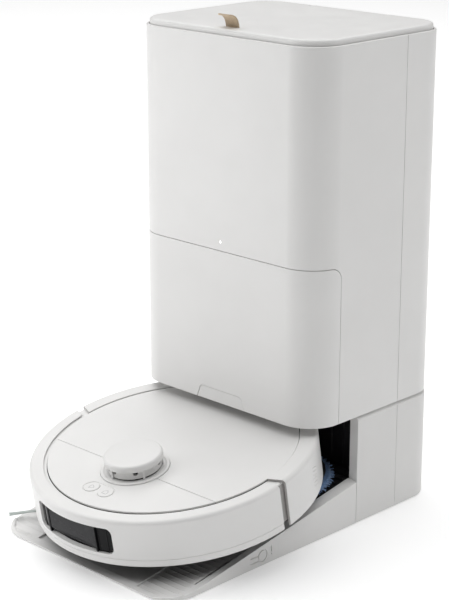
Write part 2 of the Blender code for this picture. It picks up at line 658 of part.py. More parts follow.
def make_robot_shell(robot):
    bumper = sector(rim_profile(LID_R + BUMPER_GAP), -93, 93, 42)
    for side in (-1, 1):
        cut(bumper, end_block(side, BUMPER_END_Y, 0.10))
    # A flange behind the window's edge, and a window that is flat across its middle.
    shape = (WINDOW_HALF, WINDOW_Z0, WINDOW_Z1, WINDOW_CORNER)
    join(bumper, curved_panel(*shape, SILL_R, ROBOT_R - 0.0012, -0.0022))
    cut(bumper, curved_panel(*shape, 0.165, 0.180))
    named(bumper, "bumper", "white_shell", robot)

    window = curved_panel(*shape, SILL_R - 0.0002, 0.1726, 0.0004)
    cut(window, box(-PANE_HALF_W, PANE_HALF_W, -0.2, -PANE_Y, 0, 0.1))
    named(window, "bumper_window", "black_gloss", robot)

    rear = sector(rim_profile(LID_R + 0.0008), 88, 272, 42)
    for side in (-1, 1):
        cut(rear, end_block(side, REAR_END_Y, -0.10))
    # Its top frame runs on round the front, below the groove between the lid and the bumper.
    inner, outer, low, high = LID_R + 0.0008, LID_R + 0.0068, BUMPER_Z1 - 0.0050, BUMPER_Z1 - 0.0036
    frame = sector([(inner, low), (outer, low), (outer, high), (inner, high)], -REAR_START - 0.5, REAR_START + 0.5, 60)
    join(rear, frame)
    for side in (-1, 1):
        rear_end(rear, side)
        for i in range(LOUVRES):
            cut(rear, louvre(side, LOUVRE_Z + LOUVRE_PITCH * i))
    named(rear, "rear_body", "white_shell", robot)

    # Chassis: a pan with a skirt, opened for the wheels, the brushes, the mops and the camera.
    r = CHASSIS_R
    profile = [(r - 0.016, 0.0100), (r - 0.002, 0.0205), (r, 0.0225), (r, 0.0765)]
    profile += [(r - 0.0025, 0.0765), (r - 0.0025, 0.0225), (r - 0.0040, 0.0220)]
    chassis = stack(profile)
    for side in (-1, 1):
        x0, x1 = sorted((side * 0.0850, side * 0.1320))
        cut(chassis, box(x0, x1, -0.040, 0.040, -0.1, 0.05))
        cut(chassis, disc(MOP_R + 0.003, -0.01, 0.0145, side * MOP_X, MOP_Y, 32))
        cut(chassis, disc(0.0075, -0.01, 0.05, side * MOP_X, MOP_Y, 16))
    cut(chassis, box(-0.0840, 0.0840, -0.0360, 0.0120, -0.1, 0.05))
    cut(chassis, box(-0.0945, 0.0945, -0.0620, -0.0356, -0.1, 0.0130))
    cut(chassis, disc(0.0235, -0.01, 0.05, 0, CASTER_Y, 32))
    cut(chassis, disc(0.0120, -0.01, 0.05, *SIDE_BRUSH, 32))
    cut(chassis, curved_panel(17, 0.0375, 0.0655, 0.003, 0.158, 0.170))
    named(chassis, "chassis", "dark_plastic", robot)

    def deck_plan(inset):
        r, y = LID_R - inset, SEAM_Y - 0.0004 - inset
        half = math.degrees(math.acos(-y / r))
        return [bearing_point(r, -half + 2 * half * i / 32, 0)[:2] for i in range(33)]

    def cover_plan(inset):
        r, y = LID_R - inset, SEAM_Y + 0.0004 + inset
        half = math.degrees(math.acos(-y / r))
        span = 360 - 2 * half
        return [bearing_point(r, half + span * i / 44, 0)[:2] for i in range(45)]

    deck = soft_block(deck_plan, LID_TOP - 0.0024, LID_TOP, 0, 0.0007, 2)
    cut(deck, disc(TURRET_RING_R + 0.0004, 0, 0.2, 0, TURRET_Y, 40))
    recess = arc(BUTTON_X, BUTTON_Y, BUTTON_R + 0.0016, -90, 90, 8)
    recess += arc(-BUTTON_X, BUTTON_Y, BUTTON_R + 0.0016, 90, 270, 8)
    cut(deck, prism(recess, LID_TOP - 0.0007, LID_TOP + 0.01))
    for side in (-1, 1):
        cut(deck, disc(BUTTON_R + 0.0004, 0, 0.2, side * BUTTON_X, BUTTON_Y, 20))
    named(deck, "front_deck", "white_shell", robot)

    cover = soft_block(cover_plan, LID_TOP - 0.0024, LID_TOP, 0, 0.0007, 2)
    cut(cover, disc(TURRET_RING_R + 0.0004, 0, 0.2, 0, TURRET_Y, 40))
    named(cover, "rear_cover", "white_shell", robot)

    for name, side in (("button_play", -1), ("button_home", 1)):
        x = side * BUTTON_X
        button = disc(BUTTON_R, LID_TOP - 0.0045, LID_TOP + 0.0001, x, BUTTON_Y, 20, 0.0006)
        named(button, name, "white_shell", robot, (x, BUTTON_Y, LID_TOP))


def make_turret(robot):
    ring = [(0.0300, 0.0715), (TURRET_RING_R, 0.0715), (TURRET_RING_R, LID_TOP + 0.0006)]
    ring += [(TURRET_RING_R - 0.0010, LID_TOP + 0.0016), (TURRET_R + 0.0022, LID_TOP + 0.0016)]
    ring += [(TURRET_R + 0.0008, LID_TOP + 0.0004), (0.0300, LID_TOP + 0.0004)]
    named(turned(ring, 0, TURRET_Y, 40), "turret_ring", "white_shell", robot)

    r, top = TURRET_R, TURRET_TOP
    profile = [(r - 0.003, top - 0.0024), (r - 0.003, top - 0.0085), (r, top - 0.0085)]
    profile += [(r, top - 0.0022)] + arc(r - 0.0020, top - 0.0020, 0.0020, 10, 80, 3)
    cap = stack(profile + [(r - 0.0040, top)], 0, TURRET_Y, 40)
    for i in range(5):
        a = 36 + 72 * i
        low, high = LID_TOP + 0.0008, top - 0.0080
        inner, outer = r - 0.0025, r - 0.0006
        section = [(inner, low), (outer, low), (outer, high), (inner, high)]
        post = sector(section, a - 8.7, a + 8.7, 3)
        place(post, (0, TURRET_Y, 0))
        join(cap, post)
    named(cap, "turret_cap", "white_shell", robot)

    rotor = disc(0.0320, 0.0820, 0.0920, 0, TURRET_Y, 32, 0.0006)
    for x in (-0.012, 0.012):
        cut(rotor, box(x - 0.005, x + 0.005, TURRET_Y - 0.04, TURRET_Y - 0.0250, 0.0870, 0.0905))
    join(rotor, disc(0.0100, 0.0720, 0.0830, 0, TURRET_Y, 24))
    named(rotor, "lidar_rotor", "white_base", robot, (0, TURRET_Y, 0.0720))


def make_running_gear(robot):
    z = WHEEL_R
    for name, side in (("left", -1), ("right", 1)):
        half = WHEEL_W / 2
        profile = [(0.0300, -half), (WHEEL_R - 0.001, -half + 0.0020), (WHEEL_R, -half + 0.005)]
        profile += [(WHEEL_R, half - 0.005), (WHEEL_R - 0.001, half - 0.0020), (0.0300, half)]
        wheel = stack(profile, steps=36)
        for i in range(9):
            tread = box(WHEEL_R - 0.0014, WHEEL_R + 0.002, -0.0012, 0.0012, -0.02, 0.02)
            place(tread, (0, 0, 0), 0.35, "X")
            place(tread, (0, 0, 0), math.tau * i / 9, "Z")
            cut(wheel, tread)
        cut(wheel, disc(0.0215, half - 0.0030, half + 0.01, steps=24))
        cut(wheel, disc(0.0044, -half - 0.01, 0.004, steps=20))
        place(wheel, (side * WHEEL_X, 0, z), side * math.pi / 2, "Y")
        named(wheel, "wheel_" + name, "rubber", robot, (side * WHEEL_X, 0, z))

        inner = side * (WHEEL_X - half - 0.0010)
        gear = bar(0.0135, (side * 0.0865, 0, z), (inner, 0, z), 32)
        join(gear, bar(0.0040, (side * 0.09, 0, z), (side * (WHEEL_X + 0.002), 0, z), 20))
        named(gear, "wheel_motor_" + name, "grey_plastic", robot, (side * 0.0865, 0, z))

    # Front caster: a fork that swivels in its cup, and a small roller.
    fork = disc(0.0200, 0.0215, 0.0250, 0, CASTER_Y, 32)
    for side in (-1, 1):
        x0, x1 = sorted((side * 0.0082, side * 0.0110))
        join(fork, box(x0, x1, CASTER_Y - 0.006, CASTER_Y + 0.006, 0.0060, 0.0220))
    join(fork, bar(0.0014, (-0.0110, CASTER_Y, 0.0100), (0.0110, CASTER_Y, 0.0100), 12))
    named(fork, "caster_fork", "dark_plastic", robot, (0, CASTER_Y, 0.0250))
    roller = disc(0.0100, -0.0075, 0.0075, steps=20, edge=0.0015)
    cut(roller, disc(0.0018, -0.02, 0.02, steps=16))
    place(roller, (0, CASTER_Y, 0.0100), math.pi / 2, "Y")
    named(roller, "caster_wheel", "rubber", robot, (0, CASTER_Y, 0.0100))


def make_cleaning(robot):
    # Main roller brush, with a spiral of fins, along X.
    y, z, r = -0.0120, 0.0190, 0.0165
    rings = []
    for i in range(13):
        x = -0.0795 + 0.159 * i / 12
        turn = math.radians(160 * abs(x) / 0.0795)
        ring = []
        for k in range(18):
            a = math.tau * k / 18
            radius = r if k % 3 == 0 else 0.0115
            ring.append((x, y + radius * math.cos(a + turn), z + radius * math.sin(a + turn)))
        rings.append(ring)
    named(loft(rings), "main_brush", "rubber", robot, (0, y, z))

    guard = box(-0.0935, 0.0935, -0.0610, -0.0366, 0.0095, 0.0125)
    for i in range(6):
        x = -0.075 + 0.03 * i
        cut(guard, box(x - 0.010, x + 0.010, -0.0560, -0.0420, 0, 0.1))
    named(guard, "brush_guard", "grey_plastic", robot)

    bx, by = SIDE_BRUSH
    side_brush = disc(0.0105, 0.0060, 0.0130, bx, by, 16, 0.0008)
    for i in range(3):
        stations = ((0.006, 0.0030, 0.0068, 0.0092), (0.040, 0.0026, 0.0060, 0.0078))
        stations += ((0.068, 0.0034, 0.0050, 0.0060),)
        arm = loft([[(x, -w, a), (x, w, a), (x, w, b), (x, -w, b)] for x, w, a, b in stations])
        place(arm, (bx, by, 0), math.radians(225 + 120 * i), "Z")
        join(side_brush, arm)
    named(side_brush, "side_brush", "bristle", robot, (bx, by, 0.0095))

    for name, side in (("left", -1), ("right", 1)):
        x = side * MOP_X
        plate = disc(MOP_R - 0.006, 0.0098, 0.0128, x, MOP_Y, 28, 0.0006)
        join(plate, disc(0.0068, 0.0120, 0.0260, x, MOP_Y, 16))
        named(plate, "mop_plate_" + name, "grey_plastic", robot, (x, MOP_Y, 0.0128))
        pad = disc(MOP_R, 0.0016, 0.0094, x, MOP_Y, 36, 0.0020)
        named(pad, "mop_pad_" + name, "mop_cloth", robot, (x, MOP_Y, 0.0094))


def make_inside(robot):
    battery = box(-0.070, 0.070, -0.100, -0.046, 0.0255, 0.0480)
    named(battery, "battery", "dark_plastic", robot)
    dust_bin = box(-0.062, 0.062, 0.018, 0.128, 0.0290, 0.0770)
    cut(dust_bin, box(-0.060, 0.060, 0.020, 0.126, 0.0310, 0.09))
    named(dust_bin, "dust_bin", "smoke_tank", robot)
    camera = box(-0.040, 0.040, -0.1590, -0.1500, 0.0395, 0.0635)
    for x in (-0.026, 0.0, 0.026):
        join(camera, bar(0.0060 if x else 0.0085, (x, -0.155, 0.0515), (x, -0.1630, 0.0515), 16))
    named(camera, "camera_module", "dark_plastic", robot)


def frame_empty(name, location, turn=0.0):
    empty = bpy.data.objects.new(name, None)
    bpy.context.scene.collection.objects.link(empty)
    empty.location = location
    empty.rotation_euler = (turn, 0, 0)
    return empty


def centre_box(station, robot):
    """Slides both frames along X and Y so that the origin is below the middle of the whole box."""
    bpy.context.view_layer.update()
    reach = [
        obj.matrix_world @ vertex.co
        for obj in bpy.data.objects
        if obj.type == "MESH"
        for vertex in obj.data.vertices
    ]
    for axis in (0, 1):
        values = [point[axis] for point in reach]
        middle = (min(values) + max(values)) / 2
        station.location[axis] -= middle
        robot.location[axis] -= middle


for old in list(bpy.data.objects):
    bpy.data.objects.remove(old)
MADE = {name: make_material(name, *look) for name, look in MATERIALS.items()}
station_frame = frame_empty("station_frame", (0, 0, 0))
robot_frame = frame_empty("robot_frame", (ROBOT_X, ROBOT_Y, ROBOT_Z), PARK_TILT)
make_tower(station_frame)
make_lid(station_frame)
make_tanks(station_frame)
make_inner_tower(station_frame)
make_ramp(station_frame)
make_base(station_frame)
make_robot_shell(robot_frame)
make_turret(robot_frame)
make_running_gear(robot_frame)
make_cleaning(robot_frame)
make_inside(robot_frame)
centre_box(station_frame, robot_frame)
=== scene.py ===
"""Looks of the robot vacuum and its station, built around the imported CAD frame.

Metres, +Z up. The station is drawn with y = 0 at the tower's front face. The robot is drawn in its own frame:
x to its right, y to its rear, z up from the plane its wheels roll on.
"""

import math
import random

import bmesh
import bpy
from mathutils import Matrix, Vector, noise


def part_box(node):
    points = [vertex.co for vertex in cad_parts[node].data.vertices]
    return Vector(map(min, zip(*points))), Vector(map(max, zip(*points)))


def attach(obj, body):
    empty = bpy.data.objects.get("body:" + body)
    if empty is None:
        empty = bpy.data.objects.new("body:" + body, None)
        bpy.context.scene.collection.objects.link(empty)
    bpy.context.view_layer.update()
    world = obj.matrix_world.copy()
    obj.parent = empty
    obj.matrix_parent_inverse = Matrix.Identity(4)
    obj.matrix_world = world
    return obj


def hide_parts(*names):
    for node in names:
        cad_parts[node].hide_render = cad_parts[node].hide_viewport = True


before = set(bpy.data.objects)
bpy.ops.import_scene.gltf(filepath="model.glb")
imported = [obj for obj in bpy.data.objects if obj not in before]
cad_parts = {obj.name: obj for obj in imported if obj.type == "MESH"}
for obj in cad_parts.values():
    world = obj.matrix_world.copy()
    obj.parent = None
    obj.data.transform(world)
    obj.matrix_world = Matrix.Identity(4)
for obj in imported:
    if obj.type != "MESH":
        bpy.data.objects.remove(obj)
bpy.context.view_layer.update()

# Tower
TOWER_HALF_W = 0.151
TOWER_D = 0.237
FRONT_R = 0.0447
REAR_R = 0.040
WALL = 0.003
TOWER_Z0 = 0.1405
RIM_Z = 0.593
COVER_TOP_Z = 0.3345
COVER_SIDE_Y = 0.0474
COVER_CORNER_R = 0.015
REAR_SEAM_Y = 0.158
SEAM = 0.0007
SPLIT = 0.0003
LAMP_Z = 0.346
LID_INSET = 0.004
LID_Z1 = 0.6010
LID_SKIRT_Z = 0.5905
HINGE_X = 0.060
HINGE_Y = TOWER_D - LID_INSET - 0.0033
HINGE_Z = 0.59775

# Base and ramp
BASE_HALF_W = 0.1513
BASE_Y0 = 0.0838
BASE_BACK = 0.2385
BASE_TOP = 0.1394
BASE_CHAMFER_H = 0.0035
BASE_CHAMFER_W = 0.0040
UNDERSIDE = 0.0012
BAY_HALF_W = 0.1385
BAY_BACK = 0.1105
RAMP_FRONT = -0.2335
RAMP_BACK = BASE_Y0 - 0.0006
RAMP_CORNER_R = 0.040
RAMP_LIP = 0.0042
CHEEK_Z_AT_0 = 0.0430
CHEEK_SLOPE = 0.172
TRACK_X0 = 0.0900
TRACK_X1 = 0.1358
TRACK_DEPTH = 0.003
TRACK_CORNER_R = 0.034
TRACK_PITCH = 0.0078
TREADS = 23
TREAD_LOW = 0.0003
TREAD_RISE = 0.0016
CREST_LENGTH = 0.0006
BEVEL_X = 0.1410
BEVEL_START = -0.2080
TRAY_Y0 = -0.034
TRAY_LOW = -0.0085
PIN_X = 0.032
PORT_HALF_W = 0.0165

# Robot
PARK_TILT = math.radians(10.0)
ROBOT_Y = -0.0702
ROBOT_Z = 0.0311
ROBOT_R = 0.175
BUMPER_Z0 = 0.022
BUMPER_Z1 = 0.082
LID_R = 0.1525
LID_TOP = 0.0808
BUMPER_GAP = 0.0045
SLANT = 0.42
BUMPER_END_Y = -0.0009
REAR_END_Y = 0.0100
REAR_START = 93.4
SEAM_Y = -0.0670
TURRET_Y = -0.0630
WINDOW_HALF = 21.0
WINDOW_Z0 = BUMPER_Z0 + 0.0138
WINDOW_Z1 = BUMPER_Z0 + 0.0475
WINDOW_CORNER = 0.0075
SILL_R = 0.1686
PANE_Y = 0.1690
PANE_HALF_W = 0.0395
TONGUE_R0 = 0.1668
TONGUE_R1 = 0.1702
LOUVRES = 6
LOUVRE_START = 113.5
LOUVRE_END = 118.0
LOUVRE_FALL = 0.0045
LOUVRE_Z = 0.0390
LOUVRE_PITCH = 0.0048
TURRET_R = 0.0355
TURRET_RING_R = 0.0415
TURRET_TOP = 0.1015
WHEEL_R = 0.035
WHEEL_X = 0.115
WHEEL_W = 0.026
MOP_X = 0.0700
MOP_Y = 0.1050
MOP_R = 0.0615
BUTTON_X = 0.012
BUTTON_Y = -0.1218
BUTTON_R = 0.0095
SIDE_BRUSH = (-0.108, -0.098)
SIDE_BRUSH_ARM = 225
HAIRS_PER_ARM = 46
FRINGE_STRANDS = 210
TURRET_HOLES = (250, 270, 320, 24, 34, 130)
TURRET_HOLE_Z = 0.0908

# The two frames, found from the CAD
TOWER_LOW, TOWER_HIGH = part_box("tower_shell")
STATION_X, STATION_Y = (TOWER_LOW.x + TOWER_HIGH.x) / 2, TOWER_LOW.y
STATION = Matrix.Translation((STATION_X, STATION_Y, 0))
AXLE = sum(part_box("wheel_right"), Vector()) / 2
TILT = Matrix.Rotation(PARK_TILT, 4, "X")
ROBOT = Matrix.Translation(Vector((AXLE.x - WHEEL_X, AXLE.y, AXLE.z)) - TILT @ Vector((0, 0, WHEEL_R))) @ TILT
FINE = 96


# Meshes


def solid(bm, name="shape"):
    bmesh.ops.recalc_face_normals(bm, faces=bm.faces)
    mesh = bpy.data.meshes.new(name)
    bm.to_mesh(mesh)
    bm.free()
    obj = bpy.data.objects.new(name, mesh)
    bpy.context.scene.collection.objects.link(obj)
    return obj


def loft(rings, closed_loop=False):
    """Skins rings of equally many points, and caps the ends unless the rings close on themselves."""
    bm = bmesh.new()
    rows = [[bm.verts.new(p) for p in ring] for ring in rings]
    pairs = list(zip(rows, rows[1:]))
    if closed_loop:
        pairs.append((rows[-1], rows[0]))
    for low, high in pairs:
        for i in range(len(low)):
            j = (i + 1) % len(low)
            bm.faces.new((low[i], low[j], high[j], high[i]))
    if not closed_loop:
        bm.faces.new(rows[0][::-1])
        bm.faces.new(rows[-1])
    return solid(bm)


def prism(points, z0, z1):
    return loft([[(x, y, z) for x, y in points] for z in (z0, z1)])


def prism_x(points, x0, x1):
    """Extrudes an outline of (y, z) points along X."""
    return loft([[(x, y, z) for y, z in points] for x in (x0, x1)])


def oblong(a, b, low, high):
    """Four corners of an upright rectangle, for a section or an outline."""
    return [(a, low), (b, low), (b, high), (a, high)]


def box(x0, x1, y0, y1, z0, z1):
    return prism([(x0, y0), (x1, y0), (x1, y1), (x0, y1)], z0, z1)


def arc(cx, cy, r, start, end, steps):
    angles = [math.radians(start + (end - start) * i / steps) for i in range(steps + 1)]
    return [(cx + r * math.cos(a), cy + r * math.sin(a)) for a in angles]


def rounded(x0, x1, y0, y1, radii, steps=24):
    """Rectangle with its own radius at the front left, front right, rear right and rear left corner."""
    fl, fr, rr, rl = radii
    return (
        arc(x0 + fl, y0 + fl, fl, 180, 270, steps)
        + arc(x1 - fr, y0 + fr, fr, 270, 360, steps)
        + arc(x1 - rr, y1 - rr, rr, 0, 90, steps)
        + arc(x0 + rl, y1 - rl, rl, 90, 180, steps)
    )


def tower_plan(inset, steps=24):
    front, rear = FRONT_R - inset, REAR_R - inset
    half = TOWER_HALF_W - inset
    return rounded(-half, half, inset, TOWER_D - inset, (front, front, rear, rear), steps)


def circle(r, z, cx=0.0, cy=0.0, steps=FINE):
    return [(x, y, z) for x, y in arc(cx, cy, r, 0, 360, steps)[:-1]]


def turned(profile, cx=0.0, cy=0.0, steps=FINE):
    """Turns a closed outline of (radius, z) points about the vertical line at cx, cy."""
    return loft([circle(r, z, cx, cy, steps) for r, z in profile], closed_loop=True)


def stack(profile, cx=0.0, cy=0.0, steps=FINE):
    return loft([circle(r, z, cx, cy, steps) for r, z in profile])


def disc(r, z0, z1, cx=0.0, cy=0.0, steps=FINE, edge=0.0):
    if not edge:
        return stack([(r, z0), (r, z1)], cx, cy, steps)
    lower = [(x, z) for x, z in arc(r - edge, z0 + edge, edge, -90, 0, 4)]
    upper = [(x, z) for x, z in arc(r - edge, z1 - edge, edge, 0, 90, 4)]
    return stack(lower + upper, cx, cy, steps)


def bar(r, start, end, steps=32, edge=0.0):
    """Round bar between two points."""
    start, end = Vector(start), Vector(end)
    obj = disc(r, 0, (end - start).length, steps=steps, edge=edge)
    turn = (end - start).to_track_quat("Z", "Y").to_matrix().to_4x4()
    obj.data.transform(Matrix.Translation(start) @ turn)
    return obj


def place(obj, offset=(0, 0, 0), turn=0.0, axis="Z"):
    """Turns a mesh about an axis through the origin, then moves it."""
    obj.data.transform(Matrix.Translation(offset) @ Matrix.Rotation(turn, 4, axis))
    return obj


def bearing_point(r, azimuth, z):
    """Point at an azimuth in degrees from the robot's front, positive to its right."""
    a = math.radians(azimuth)
    return (r * math.sin(a), -r * math.cos(a), z)


def sector(profile, start, end, steps):
    """Sweeps a closed outline of (radius, z) points between two azimuths."""
    turns = [start + (end - start) * i / steps for i in range(steps + 1)]
    return loft([[bearing_point(r, a, z) for r, z in profile] for a in turns])


def curved_panel(half, z0, z1, corner, r0, r1, shrink=0.0, steps=10, middle=40):
    """Panel with rounded corners on the robot's round front, half as wide as half degrees each way."""
    wide = math.radians(half) * ROBOT_R - shrink
    z0, z1, corner = z0 + shrink, z1 - shrink, corner - shrink
    turns = [math.pi / 2 * i / steps for i in range(steps + 1)]
    ends = [(wide - corner + corner * math.cos(t), corner - corner * math.sin(t)) for t in turns]
    flat = [(ends[-1][0] * (1 - 2 * i / middle), 0.0) for i in range(1, middle)]
    columns = ends + flat + [(-s, cut) for s, cut in reversed(ends)]
    rings = []
    for s, cut_z in columns:
        azimuth = math.degrees(s / ROBOT_R)
        corners = ((r0, z0 + cut_z), (r1, z0 + cut_z), (r1, z1 - cut_z), (r0, z1 - cut_z))
        rings.append([bearing_point(r, azimuth, z) for r, z in corners])
    return loft(rings)


def applied(obj, kind, **settings):
    """Adds one modifier and applies it to the mesh."""
    step = obj.modifiers.new("step", kind)
    for key, value in settings.items():
        setattr(step, key, value)
    graph = bpy.context.evaluated_depsgraph_get()
    mesh = bpy.data.meshes.new_from_object(obj.evaluated_get(graph))
    obj.modifiers.clear()
    old, obj.data = obj.data, mesh
    bpy.data.meshes.remove(old)
    return obj


def combine(target, other, operation):
    applied(target, "BOOLEAN", operation=operation, object=other)
    bpy.data.objects.remove(other)


def cut(target, *others):
    for other in others:
        combine(target, other, "DIFFERENCE")
    return target


def join(target, *others):
    for other in others:
        combine(target, other, "UNION")
    return target


def keep(target, other):
    combine(target, other, "INTERSECT")
    return target


def gathered(parts):
    """Puts several meshes into the first one's object, without welding them."""
    bm = bmesh.new()
    for part in parts:
        bm.from_mesh(part.data)
    first = parts[0]
    bm.to_mesh(first.data)
    bm.free()
    for part in parts[1:]:
        bpy.data.objects.remove(part)
    return first


def soften(obj, width=0.0004, segments=3, angle=38):
    """Rounds the sharp edges, and shades flat faces flat and round ones smooth."""
    applied(obj, "BEVEL", width=width, segments=segments, limit_method="ANGLE",
            angle_limit=math.radians(angle), use_clamp_overlap=False, miter_outer="MITER_ARC")
    return shaded(obj)


def shaded(obj, angle=38):
    obj.data.shade_smooth()
    obj.data.set_sharp_from_angle(angle=math.radians(angle))
    applied(obj, "WEIGHTED_NORMAL", keep_sharp=True, weight=60)
    return obj


# Materials


LOOKS = {}


def ramp_node(tree, source, low, high, a, b):
    node = tree.nodes.new("ShaderNodeMapRange")
    node.inputs["From Min"].default_value = low
    node.inputs["From Max"].default_value = high
    node.inputs["To Min"].default_value = a
    node.inputs["To Max"].default_value = b
    tree.links.new(source, node.inputs["Value"])
    return node.outputs["Result"]


def noise_node(tree, coords, scale, detail=3.0, rough=0.55, stretch=None):
    if stretch:
        mapping = tree.nodes.new("ShaderNodeMapping")
        mapping.inputs["Scale"].default_value = stretch
        tree.links.new(coords, mapping.inputs["Vector"])
        coords = mapping.outputs["Vector"]
    node = tree.nodes.new("ShaderNodeTexNoise")
    node.inputs["Scale"].default_value = scale
    node.inputs["Detail"].default_value = detail
    node.inputs["Roughness"].default_value = rough
    tree.links.new(coords, node.inputs["Vector"])
    return node.outputs["Fac"]


def mix_colour(tree, factor, a, b):
    node = tree.nodes.new("ShaderNodeMix")
    node.data_type = "RGBA"
    for key, value in ((6, a), (7, b)):
        if hasattr(value, "links"):
            tree.links.new(value, node.inputs[key])
        else:
            node.inputs[key].default_value = (*value, 1)
    if hasattr(factor, "links"):
        tree.links.new(factor, node.inputs[0])
    else:
        node.inputs[0].default_value = factor
    return node.outputs[2]


def new_look(slot, name=None):
    """Registers a material for a slot, and gives its tree, its shader and the object's coordinates."""
    made = bpy.data.materials.new(name or slot)
    made.use_nodes = True
    LOOKS[name or slot] = (made, slot)
    tree = made.node_tree
    coords = tree.nodes.new("ShaderNodeTexCoord").outputs["Object"]
    return tree, tree.nodes["Principled BSDF"], coords


def add_bump(tree, shader, height, strength, distance, invert=False):
    bump = tree.nodes.new("ShaderNodeBump")
    bump.inputs["Strength"].default_value = strength
    bump.inputs["Distance"].default_value = distance
    bump.invert = invert
    tree.links.new(height, bump.inputs["Height"])
    tree.links.new(bump.outputs["Normal"], shader.inputs["Normal"])


def look(slot, colour, roughness, metallic=0.0, grain=(2600, 0.12, 0.00008), mottle=(9, 0.02),
         gloss_mottle=0.03, wear=0.06, stretch=None, name=None, **sockets):
    """Plastic, rubber or metal: moulded grain, faint colour and gloss variation, and paler worn edges."""
    tree, shader, coords = new_look(slot, name)
    low = [c * (1 - mottle[1]) for c in colour]
    high = [min(c * (1 + mottle[1]), 1) for c in colour]
    tone = mix_colour(tree, ramp_node(tree, noise_node(tree, coords, mottle[0]), 0.3, 0.7, 0, 1), low, high)
    if wear:
        edge = tree.nodes.new("ShaderNodeNewGeometry").outputs["Pointiness"]
        worn = [c + (1 - c) * 0.35 for c in colour]
        tone = mix_colour(tree, ramp_node(tree, edge, 0.52, 0.62, 0, wear), tone, worn)
    tree.links.new(tone, shader.inputs["Base Color"])
    shine = noise_node(tree, coords, 38, 2, stretch=stretch)
    tree.links.new(ramp_node(tree, shine, 0.3, 0.7, roughness - gloss_mottle, roughness + gloss_mottle),
                   shader.inputs["Roughness"])
    shader.inputs["Metallic"].default_value = metallic
    add_bump(tree, shader, noise_node(tree, coords, grain[0], 2, stretch=stretch), grain[1], grain[2])
    for key, value in sockets.items():
        shader.inputs[key.replace("_", " ")].default_value = value


MOULDED = (1800, 0.2, 0.0001)
POLISHED = (60, 0.02, 0.0002)
look("white_shell", (0.80, 0.795, 0.785), 0.36)
look("white_base", (0.76, 0.755, 0.745), 0.42)
look("white_base", (0.78, 0.775, 0.765), 0.40, name="white_ramp", grain=(1500, 0.20, 0.00012))
look("dark_plastic", (0.022, 0.022, 0.024), 0.46, grain=MOULDED, wear=0.03)
look("dark_plastic", (0.006, 0.006, 0.007), 0.55, name="bay_black", grain=MOULDED, wear=0.0)
look("black_gloss", (0.006, 0.006, 0.007), 0.06, grain=POLISHED, gloss_mottle=0.015, wear=0.0)
look("black_gloss", (0.016, 0.016, 0.018), 0.03, name="smoked_pane", grain=(60, 0.01, 0.0002),
     gloss_mottle=0.01, wear=0.0, Specular_IOR_Level=0.16)
look("black_gloss", (0.006, 0.006, 0.007), 0.12, name="end_gloss", grain=POLISHED,
     gloss_mottle=0.02, wear=0.0, Specular_IOR_Level=0.14)
# Near-black copy of the grey plastic for the mop plates: painted shadow inside the mop fringe, where the
# plates sit in shade.
look("grey_plastic", (0.020, 0.020, 0.022), 0.5, name="plate_painted_shadow", grain=MOULDED, wear=0.0)
# Darker copy of the white shell for the sunk tongues: painted shade in the gaps between bumper and rear body.
look("white_shell", (0.40, 0.385, 0.375), 0.5, name="tongue_painted_shade", wear=0.0)
look("grey_plastic", (0.42, 0.42, 0.42), 0.5, name="glyph_grey", grain=(1800, 0.05, 0.0001), wear=0.0)
look("grey_plastic", (0.24, 0.25, 0.26), 0.45, grain=MOULDED)
look("rubber", (0.035, 0.035, 0.037), 0.70, grain=(900, 0.35, 0.0002), wear=0.1)
look("bristle", (0.62, 0.67, 0.645), 0.5, grain=(3000, 0.2, 0.0001))
look("steel", (0.60, 0.60, 0.61), 0.28, 1.0, grain=(900, 0.15, 0.00005), stretch=(1, 1, 0.04))
look("lamp", (0.92, 0.94, 0.96), 0.25, wear=0.0, Emission_Color=(1, 1, 1, 1), Emission_Strength=2.2)
look("smoke_tank", (0.55, 0.58, 0.61), 0.12, grain=(700, 0.06, 0.0001), wear=0.0,
     Transmission_Weight=0.82, IOR=1.49)
look("leather", (0.58, 0.50, 0.38), 0.7, name="tab_thread", grain=(4000, 0.3, 0.0001), wear=0.0)


def fibre_look(slot, colour, accent, scale, depth, sheen, name=None, roughness=0.9):
    """Cloth made of short yarns: two tones and a bump from crossed, stretched noise."""
    tree, shader, coords = new_look(slot, name)
    warp = noise_node(tree, coords, scale, 2, stretch=(1, 0.22, 1))
    weft = noise_node(tree, coords, scale, 2, stretch=(0.22, 1, 1))
    blend = tree.nodes.new("ShaderNodeMath")
    blend.operation = "MAXIMUM"
    tree.links.new(warp, blend.inputs[0])
    tree.links.new(weft, blend.inputs[1])
    height = blend.outputs[0]
    tone = mix_colour(tree, ramp_node(tree, height, 0.42, 0.68, 0, 1), colour, accent)
    broad = ramp_node(tree, noise_node(tree, coords, 22), 0.3, 0.7, 0, 0.35)
    tree.links.new(mix_colour(tree, broad, tone, colour), shader.inputs["Base Color"])
    gloss = ramp_node(tree, height, 0.3, 0.7, roughness + 0.05, roughness - 0.08)
    tree.links.new(gloss, shader.inputs["Roughness"])
    add_bump(tree, shader, height, 0.6, depth)
    shader.inputs["Sheen Weight"].default_value = sheen


fibre_look("mop_cloth", (0.055, 0.115, 0.26), (0.16, 0.29, 0.50), 900, 0.0006, 0.4)
fibre_look("mop_cloth", (0.10, 0.19, 0.38), (0.30, 0.44, 0.66), 420, 0.0003, 0.5, name="mop_yarn")
fibre_look("paper_bag", (0.66, 0.64, 0.60), (0.74, 0.73, 0.70), 1400, 0.0002, 0.2)


